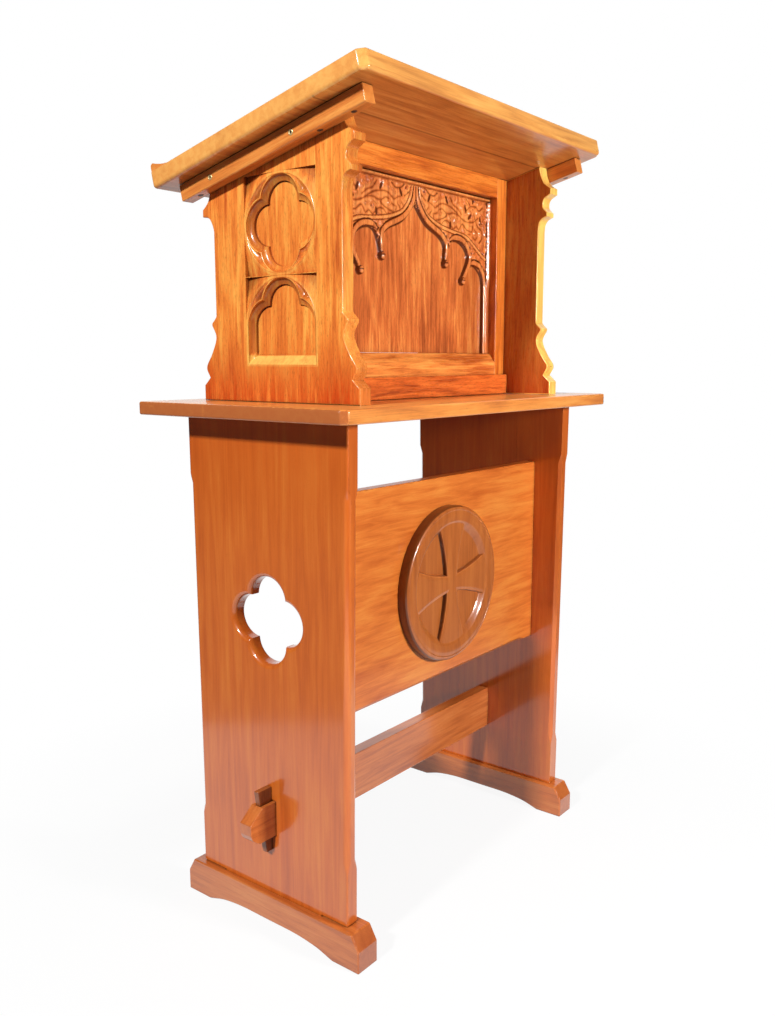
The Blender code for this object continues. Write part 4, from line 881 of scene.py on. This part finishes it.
# cuts that draw the vine: its stem, the flower, leaf edges and veins
cuts = [
    [(0.012, 1.080), (0.025, 1.071), (0.0425, 1.0665), (0.0525, 1.0622), (0.058, 1.0653), (0.0695, 1.0707),
     (0.081, 1.0705), (0.0975, 1.0677), (0.1095, 1.0626), (0.125, 1.0545), (0.1405, 1.0504), (0.161, 1.0518),
     (0.176, 1.060)],
    [(0.047, 1.052), (0.0585, 1.0557), (0.0697, 1.0627), (0.0814, 1.0577), (0.083, 1.053), (0.0714, 1.0476),
     (0.0527, 1.0432), (0.0485, 1.047), (0.047, 1.052)],
    [(0.0814, 1.0577), (0.0925, 1.0575), (0.1005, 1.0599), (0.1155, 1.0584)],
    [(0.0655, 1.0400), (0.070, 1.0387), (0.0758, 1.0441), (0.086, 1.0461), (0.095, 1.0414), (0.102, 1.0355),
     (0.112, 1.0392), (0.1192, 1.0352), (0.1225, 1.0400), (0.1298, 1.0451), (0.141, 1.038), (0.1567, 1.0362),
     (0.1596, 1.045)],
    [(0.093, 1.0833), (0.103, 1.0725), (0.115, 1.0680), (0.1267, 1.0606)],
    [(0.140, 1.0680), (0.152, 1.0755), (0.167, 1.0770), (0.178, 1.0715), (0.188, 1.0780)],
    [(0.167, 1.0770), (0.163, 1.0660), (0.169, 1.0527), (0.1756, 1.045), (0.186, 1.0400), (0.188, 1.0285),
     (0.180, 1.0200)],
    [(0.140, 1.0860), (0.148, 1.0800), (0.152, 1.0755)],
    [(0.024, 1.0905), (0.034, 1.0815), (0.048, 1.0795), (0.058, 1.0850)],
    [(0.030, 1.0560), (0.036, 1.0600), (0.0425, 1.0580), (0.0385, 1.0512)],
    [(0.145, 1.0310), (0.156, 1.0300), (0.168, 1.0240), (0.174, 1.0330), (0.165, 1.0400)],
]
# deep slits between the leaves: place and turn in degrees
slits = [
    (0.0831, 1.0777, 122), (0.1375, 1.0697, 114), (0.0943, 1.0397, 80), (0.1600, 1.0862, 70),
    (0.1500, 1.0590, 40), (0.1815, 1.0560, 100), (0.0360, 1.0740, 60),
]
# round knobs among the leaves: place and radius
knobs = [
    (0.0235, 1.0827, 0.0040), (0.0319, 1.0681, 0.0038), (0.0390, 1.0590, 0.0040), (0.1343, 1.0776, 0.0036),
    (0.1824, 1.0500, 0.0048), (0.1558, 1.0281, 0.0038), (0.0640, 1.0555, 0.0045), (0.1050, 1.0480, 0.0040),
    (0.1640, 1.0700, 0.0036), (0.1780, 1.0330, 0.0040),
]


def inOutline(spots, outline):
    # a spot is inside when a line from it crosses the outline an odd number of times
    inside = np.zeros(len(spots), bool)
    for (x0, z0), (x1, z1) in zip(outline, np.roll(outline, -1, axis=0)):
        if abs(z1 - z0) > 1e-12:
            crosses = (z0 > spots[:, 1]) != (z1 > spots[:, 1])
            inside ^= crosses & (spots[:, 0] < (x1 - x0) * (spots[:, 1] - z0) / (z1 - z0) + x0)
    return inside


def halfRound(gap, width):
    # height of a half circle at a gap from its middle, as a share of its radius
    return np.sqrt(np.clip(1.0 - (gap / width) ** 2, 0.0, 1.0))


def carveVine(spots):
    # leaves swell away from the nearest cut; returns their height over the ground and their tint
    look, tints = panelLook, panelTints
    x, z = spots.T
    gap = np.full(len(spots), 1.0)
    for cut in cuts:
        gap = np.minimum(gap, nearest(spots, throughPoints(cut, 6))[0])
    swell = np.sin(x * 260 + 2.2 * np.sin(z * 330)) * np.sin(z * 290 + 0.7)
    width = look["cutWidth"] * (1.0 + 0.9 * np.clip(swell, -0.4, 1.0))  # the gouge bites wider here and there
    groove = np.exp(-(gap / width) ** 2)
    height = look["pillow"] * (smoothRise(gap, 0.0, look["pillowReach"]) - 0.75) - look["cut"] * groove
    edge = smoothRise(gap, 0.0014, 0.0030) * (1.0 - smoothRise(gap, 0.0045, 0.0090))
    shade = np.maximum(smoothRise(z, 1.070, 1.080), smoothRise(x, 0.150, 0.172))
    # painted shade in the cuts, painted highlight beside them, painted light on the leaves, less in the shade
    tint = tints["cut"] * groove + tints["leafEdgeHighlight"] * edge
    tint = tint + tints["leafShaded"] * shade + tints["leafLit"] * (1.0 - shade)
    ripple = np.sin(x * 420 + 1.7 * np.sin(z * 260)) * np.sin(z * 380 + 1.1 * np.sin(x * 200))
    height = height + look["lobes"] * ripple
    for acrossAt, upAt, size in knobs:
        dome = halfRound(np.hypot(x - acrossAt, z - upAt), size)
        height = height + look["knobRise"] * size * dome
        tint = np.where(dome > 0.0, tints["knobLight"], tint)
    for acrossAt, upAt, turn in slits:
        level, steep = math.cos(math.radians(turn)), math.sin(math.radians(turn))
        away = (spots - (acrossAt, upAt)) @ np.array([[level, -steep], [steep, level]])
        reach = np.hypot(away[:, 0] / look["slitLength"], away[:, 1] / look["slitWidth"])
        hole = smoothRise(-reach, -1.25, -0.6)
        height = height - look["slitDeep"] * hole
        # painted shade in the slits
        tint = tint + (tints["slitShade"] - tint) * hole
    tool = np.sin(x * 900 + 3 * np.sin(z * 700)) * np.sin(z * 1100 + 1.3)
    return height + look["toolMarks"] * tool, tint


def panelHeight(spots):
    # ground outside the arch with the vine on it, then ridge, rolls, balls, side bevel and top bead laid over
    look, tints = panelLook, panelTints
    x, z = spots.T
    runs = [throughPoints(run, 10 if len(run) > 2 else 1)[:-1] for run in archRuns]
    outline = np.vstack(runs + [[archRuns[-1][-1]]])
    gap = nearest(spots, outline)[0]
    field = inOutline(spots, np.vstack([outline, [(-0.05, 1.0605), (-0.05, 0.80)]]))
    ground = look["ground"] * smoothRise(np.where(field, -gap, gap), -0.0004, 0.0008)
    solid = ground > look["ground"] * 0.98
    vine, tint = carveVine(spots)
    height = ground + vine * solid
    margin = tints["field"] + tints["fieldMargin"] * smoothRise(x, 0.105, 0.165)  # it darkens to its margins
    tint = np.where(solid, tint, margin)
    ridge = nearest(spots, throughPoints(ridgeChain, 8))[0]
    beside = ridge < 0.0042
    height = np.where(beside, np.minimum(height, ground - 0.0014 * solid), height)
    onRidge = ridge < 0.0022
    # painted highlight on the ridge, painted shade beside it
    tint = np.where(beside, np.where(onRidge, tints["ridge"], tints["besideRidgeShade"]), tint)
    height = np.maximum(height, ground + look["ridgeRise"] * halfRound(ridge, look["ridge"]))
    for chain, (first, full, last) in rollChains:
        roll, passed = nearest(spots, throughPoints(chain, 8))
        share = first + (full - first) * smoothRise(passed, 0.0, 0.22)
        share = share + (last - full) * smoothRise(passed, 0.86, 0.97)
        width = look["roll"] * share
        near = roll < width + 0.0011
        height = np.where(near, np.minimum(height, ground - 0.0012 * solid), height)
        height = np.maximum(height, look["rollRise"] * (0.45 + 0.55 * share) * halfRound(roll, width) ** 0.6)
        # painted highlight on the rolls' tops, painted shade on their flanks
        tint = np.where(near, np.where(roll < width * 0.75, tints["roll"], tints["besideRollShade"]), tint)
    for place in ballPlaces:
        near = np.hypot(*(spots - place).T)
        inside = near < look["ball"]
        height = np.maximum(height, (0.0018 + look["ball"] * halfRound(near, look["ball"])) * inside)
        onBall = near < look["ball"] * 0.7
        # painted highlight on the balls, painted shade round them
        tint = np.where(inside, np.where(onBall, tints["roll"], tints["besideRollShade"]), tint)
    # painted shadow in the field along the foot of the arch
    foot = field & (gap < 0.0030)
    stain = tints["foot"] * (1.0 - smoothRise(gap, 0.0008, 0.0030))
    tint = np.where(foot, np.maximum(tint, stain), tint)
    edge = x - (look["half"] - look["bevel"])
    onBevel, inQuirk = edge > 0.0, edge > -look["quirk"]
    rise = np.clip(edge / look["bevel"], 0.0, 1.0)
    steep = 0.45 + 0.55 * smoothRise(z, 0.945, 0.965) + 0.05 * np.sin(z * 1500) * np.sin(z * 410)
    slope = np.minimum(rise / look["bevelSlope"], 1.0)
    bevel = look["bevelFoot"] + look["bevelRise"] * steep * (1.06 * slope - 0.06 * slope ** 2)
    lowered = np.where(inQuirk, height - 0.0015, height)
    height = np.where(onBevel, np.maximum(height * (rise < 0.5), bevel), lowered)
    # painted highlight on the bevel's slope, painted shade on its top and in the quirk
    bevelTint = np.where(rise > look["bevelSlope"], tints["bevelTopShade"], tints["bevelHighlight"])
    tint = np.where(onBevel, bevelTint, np.where(inQuirk, tints["quirk"], tint))
    under = look["top"] - z
    bead = np.abs(under - look["topBead"])
    height = np.where(under < 0.0075, np.minimum(height, look["ground"] - 0.0020), height)
    height = np.maximum(height, (look["ground"] + 0.0025) * halfRound(bead, look["topBead"]))
    # painted highlight on the top bead, painted shadow under it
    tint = np.where(bead < 0.0021, tints["bead"], np.where(under < 0.0070, tints["underBeadShadow"], tint))
    return np.maximum(height, 0.0), tint


def makeCarvedPanel(material):
    look = panelLook
    plainTo, top, cell = look["plainTo"], look["top"], look["cell"]
    across = np.linspace(0.0, look["half"], int(look["half"] / cell) + 1)
    up = np.concatenate([np.linspace(look["low"], plainTo, 24, endpoint=False),
                         np.linspace(plainTo, top, int((top - plainTo) / cell))])
    x, z = np.meshgrid(across, up)
    height, tint = panelHeight(np.column_stack([x.ravel(), z.ravel()]))
    height, tint = height.reshape(x.shape), tint.reshape(x.shape)
    height, tint, z = (np.hstack([half[:, :0:-1], half]) for half in (height, tint, z))
    x = np.hstack([-x[:, :0:-1], x])
    steep = smoothRise(np.gradient(height, cell, axis=1), 0.80, 1.45)
    sunk = np.clip(tint + (1.0 - tint) * steep, -1.0, 1.0)  # painted shade on the flanks that face left
    spots = np.stack([x, look["fieldY"] + standY - height, z], axis=-1)
    rows, columns = x.shape
    index = np.arange(rows * columns).reshape(rows, columns)
    border = np.concatenate([index[0, :-1], index[:-1, -1], index[-1, :0:-1], index[:0:-1, 0]])
    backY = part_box("tracery_panel")[1].y
    rim = spots.reshape(-1, 3)[border] * (1, 0, 1) + (0, backY, 0)
    first, count = rows * columns, len(border)
    following = np.roll(np.arange(count), -1)
    walls = np.column_stack([border, first + np.arange(count), first + following, border[following]]).tolist()
    faces = gridFaces(rows, columns) + walls + [tuple(range(first + count - 1, first - 1, -1))]
    return newPiece("tracery_panel_carved", np.vstack([spots.reshape(-1, 3), rim]), faces, material,
                    "tracery_panel", sharp=70.0, sunk=np.concatenate([sunk.ravel(), np.zeros(count)]))


# Screws: a turned profile of radius and height over the head's rim; a cup with a sunk head, or a flat head
# with a slot
screwLook = {
    "brass": (238, 212, 150), "brassRoughness": 0.38, "steel": (92, 74, 60), "steelRoughness": 0.42,
    "cup": [(0.0, -0.0016), (0.0012, -0.0016), (0.0015, -0.0010), (0.0020, 0.0001), (0.0029, 0.0004),
            (0.0035, 0.0003), (0.0040, 0.0), (0.0040, -0.0004)],
    "flat": [(0.0, 0.0), (0.0020, 0.0), (0.0036, -0.0001), (0.0040, -0.0004)],
    "shank": [(0.0019, -0.0032), (0.0019, -0.0280), (0.0, -0.0335)], "cupHole": 0.0016, "slot": 0.0006,
    "spokes": 32, "grain": 900.0, "holeDirtAndShade": (0.010, 0.006, 0.004, 1.0),
}


def agedMetal(name, colour, roughness):
    made, shader, place = newMaterial(name)
    spots = place.node("ShaderNodeTexNoise", {"noise_dimensions": "3D"},
                       {"Vector": place, "Scale": screwLook["grain"], "Detail": 3.0})
    tone = linear(colour)
    sunk = place.node("ShaderNodeAttribute", {"attribute_name": "sunk"}, {}, out=2)
    stops = [(0.3, tuple(channel * 0.6 for channel in tone)), (0.7, tone)]
    shade = spots.node("ShaderNodeValToRGB", {"stops": stops}, {"Fac": spots})
    # dark, dull and not metallic in the hole and slot: dirt and painted shade
    feed(shader, "Base Color", shade.tint(screwLook["holeDirtAndShade"], sunk))
    feed(shader, "Metallic", 0.55 - 0.45 * sunk)
    feed(shader, "Roughness", roughness + 0.2 * (spots - 0.5) + 0.3 * sunk)
    return made


def makeScrew(node, head, aim, material):
    look = screwLook
    spots = np.zeros(3 * len(nodes[node].data.vertices))
    nodes[node].data.vertices.foreach_get("co", spots)
    spots = spots.reshape(-1, 3)
    axis = np.array(aim) / np.linalg.norm(aim)
    reach = spots @ axis
    crown = spots[reach > reach.max() - 1e-5]
    middle = (crown.min(axis=0) + crown.max(axis=0)) / 2
    side = np.cross(axis, (0.0, 1.0, 0.0) if abs(axis[1]) < 0.9 else (1.0, 0.0, 0.0))
    side = side / np.linalg.norm(side)
    radius, height = np.array(look[head] + look["shank"]).T
    turn = np.linspace(0.0, 2 * math.pi, look["spokes"], endpoint=False)
    ring = np.cos(turn)[:, None] * side + np.sin(turn)[:, None] * np.cross(axis, side)
    place = middle + radius[:, None, None] * ring + height[:, None, None] * axis
    # the cup's hole and the slot are painted dark: dirt and painted shade
    if head == "cup":
        dark = np.repeat((radius < look["cupHole"])[:, None], len(turn), axis=1)
    else:
        dark = (np.abs(radius[:, None] * np.sin(turn)) < look["slot"]) & (height[:, None] > -0.001)
    faces = gridFaces(len(radius), len(turn), closed=True)
    return newPiece(node + "_turned", place.reshape(-1, 3), faces, material, node, sharp=50.0, sunk=dark)


madeBoards = {boardName: roundedBoard(boardName) for boardName in boardLooks}
for plateName in plateLooks:
    makePlate(plateName)
print("boards rounded")
for sideName, sideSign in (("left", -1), ("right", 1)):
    panelName = sideName + "_end_panel"
    makeFoilLip(panelName, sideSign, madeBoards[panelName].data.materials[0])
print("quatrefoil lips rounded")
for sideName, sideSign in (("left", -1), ("right", 1)):
    makeDeskSide(sideName, sideSign, varnishedWood(sideName + "_side_wood", "z", "side", carved=True))
print("desk sides carved")
brassScrew = agedMetal("brass_screw", screwLook["brass"], screwLook["brassRoughness"])
steelScrew = agedMetal("steel_screw", screwLook["steel"], screwLook["steelRoughness"])
for nodeName in nodes.keys():
    if nodeName.endswith("side_screw"):
        makeScrew(nodeName, "cup", (-1 if nodeName.startswith("left") else 1, 0, 0), brassScrew)
    elif nodeName.endswith("board_screw"):
        makeScrew(nodeName, "flat", (0, -boardSlope, -1), steelScrew)
print("screws turned")
makeRoundel(varnishedWood("roundel_wood", "z", "nut", carved=True))
makeCarvedPanel(varnishedWood("panel_wood", "z", "carved", carved=True))
print("roundel and panel carved")

# Camera at the photograph's place, found from its straight edges
cameraPlace = {
    "x": -1.1947, "y": -0.9277, "z": 0.8266, "pitch": 8.9465, "yaw": -51.6807, "roll": 0.03, "lens": 33.345,
}


def setCamera():
    data = bpy.data.cameras.new("camera")
    data.lens = cameraPlace["lens"]
    data.sensor_width = 36.0
    camera = addObject("camera", data)
    camera.location = (cameraPlace["x"], cameraPlace["y"] + standY, cameraPlace["z"])
    camera.rotation_euler = (math.radians(90 - cameraPlace["pitch"]), math.radians(cameraPlace["roll"]),
                             math.radians(cameraPlace["yaw"]))
    bpy.context.scene.camera = camera


setCamera()

# Studio: white paper under and behind the lectern in a dim room, a small lamp in front, a far one to the left
# and a soft one behind; the camera sees floor and room white from every side
studio = {
    "room": 0.012, "mirror": 0.04, "paper": 0.38, "paperSeen": 0.92, "whiteNear": 0.91, "whiteFar": 1.0,
    "nearTo": 0.35, "farFrom": 0.95, "halfWidth": 1.03, "widen": 0.20, "near": -2.2, "far": 1.35,
    "bend": 0.35, "high": 2.6, "floorSize": 16.0, "floorDrop": 0.002, "floorShade": 0.14,
}
lamps = [
    {"name": "front_lamp", "at": (0.06, -1.85, 1.04), "aim": (0.0, 0.0, 0.75), "size": 0.25, "watts": 35.0},
    {"name": "left_lamp", "at": (-3.30, -0.30, 2.60), "aim": (0.0, 0.0, 0.7), "size": 0.28, "watts": 140.0},
    {"name": "back_lamp", "at": (1.70, 2.40, 1.90), "aim": (0.0, 0.0, 0.7), "size": 1.00, "watts": 30.0},
]


def addLamp(look):
    data = bpy.data.lights.new(look["name"], "AREA")
    data.shape = "SQUARE"
    data.size = look["size"]
    data.energy = look["watts"]
    lamp = addObject(look["name"], data)
    aim = np.array(look["aim"]) - np.array(look["at"])
    lamp.location = look["at"]
    lamp.rotation_euler = (math.acos(-aim[2] / np.linalg.norm(aim)), 0.0, math.atan2(-aim[0], aim[1]))


def seenWhite(tree, mirrored):
    # 1 for rays that show a thing to the camera, the given share for those that show it in a reflection
    path = tree.nodes.new("ShaderNodeLightPath")
    rays = ("Is Camera Ray", "Is Glossy Ray", "Is Transmission Ray")
    seen, glossy, through = (Sock(tree, path.outputs[key]) for key in rays)
    return seen.math("MAXIMUM", seen, seen.math("MAXIMUM", glossy, through) * mirrored)


def stageSheet(name, vertices, faces, shade, mirrored):
    # a sheet of the given shade that the camera sees almost white, so that the lectern's shadow stays on it
    mesh = bpy.data.meshes.new(name)
    mesh.from_pydata(np.asarray(vertices).tolist(), [], faces)
    mesh.shade_smooth()
    sheet = addObject(name, mesh)
    made, shader, place = newMaterial(name)
    mesh.materials.append(made)
    shader.inputs["Roughness"].default_value = 0.9
    shader.inputs["Specular IOR Level"].default_value = 0.0
    shown = seenWhite(place.tree, mirrored)
    away = place.node("ShaderNodeVectorMath", {"operation": "LENGTH"}, {0: place}, out=1)
    away = away.clip(studio["nearTo"], studio["farFrom"])
    share = shown * (studio["whiteNear"] + (studio["whiteFar"] - studio["whiteNear"]) * away)
    feed(shader, "Base Color", shade + (studio["paperSeen"] - shade) * shown)
    glow = share.node("ShaderNodeEmission", {}, {"Strength": 1.0})
    mixed = glow.node("ShaderNodeMixShader", {}, {0: share, 1: Sock(place.tree, shader.outputs[0]), 2: glow})
    place.tree.links.new(mixed.socket, place.tree.nodes["Material Output"].inputs["Surface"])
    return sheet


def setWorld():
    world = bpy.data.worlds.new("studio")
    bpy.context.scene.world = world
    world.use_nodes = True
    tree = world.node_tree
    back = tree.nodes["Background"]
    back.inputs["Color"].default_value = (1.0, 1.0, 1.0, 1.0)
    back.inputs["Strength"].default_value = studio["room"]
    shown = seenWhite(tree, studio["mirror"])
    glow = shown.node("ShaderNodeBackground", {}, {"Color": (1.0, 1.0, 1.0, 1.0), "Strength": 1.0})
    mixed = shown.node("ShaderNodeMixShader", {}, {0: shown, 1: Sock(tree, back.outputs[0]), 2: glow})
    tree.links.new(mixed.socket, tree.nodes["World Output"].inputs["Surface"])


def setStage():
    # the paper's section: flat from near to far, a quarter circle, then upright; carried across a width that
    # grows away from the camera
    turn = np.linspace(0.0, math.pi / 2, 17)
    bend, far = studio["bend"], studio["far"]
    along = np.concatenate([[studio["near"]], far - bend + bend * np.sin(turn), [far]])
    height = np.concatenate([[0.0], bend - bend * np.cos(turn), [studio["high"]]])
    half = studio["halfWidth"] + studio["widen"] * along
    heading = math.radians(-cameraPlace["yaw"])
    grid, side = np.stack([along, along], axis=1), np.stack([-half, half], axis=1)
    x = grid * math.sin(heading) + side * math.cos(heading)
    y = grid * math.cos(heading) - side * math.sin(heading)
    z = np.repeat(height[:, None], 2, axis=1)
    spots = np.stack([x, y, z], axis=-1)
    stageSheet("paper", spots[:2].reshape(-1, 3), gridFaces(2, 2), studio["paper"], 1.0)
    upright = gridFaces(len(along) - 1, 2)
    behind = stageSheet("backdrop", spots[1:].reshape(-1, 3), upright, studio["paper"], 1.0)
    behind.visible_camera = False  # it lights the lectern and hides it from no side
    half, low = studio["floorSize"] / 2, -studio["floorDrop"]
    corners = [(-half, -half, low), (half, -half, low), (half, half, low), (-half, half, low)]
    stageSheet("floor", corners, [(0, 1, 2, 3)], studio["floorShade"], studio["mirror"])


setWorld()
setStage()
for lampLook in lamps:
    addLamp(lampLook)
bpy.context.scene.view_settings.view_transform = "Standard"
print("studio set")
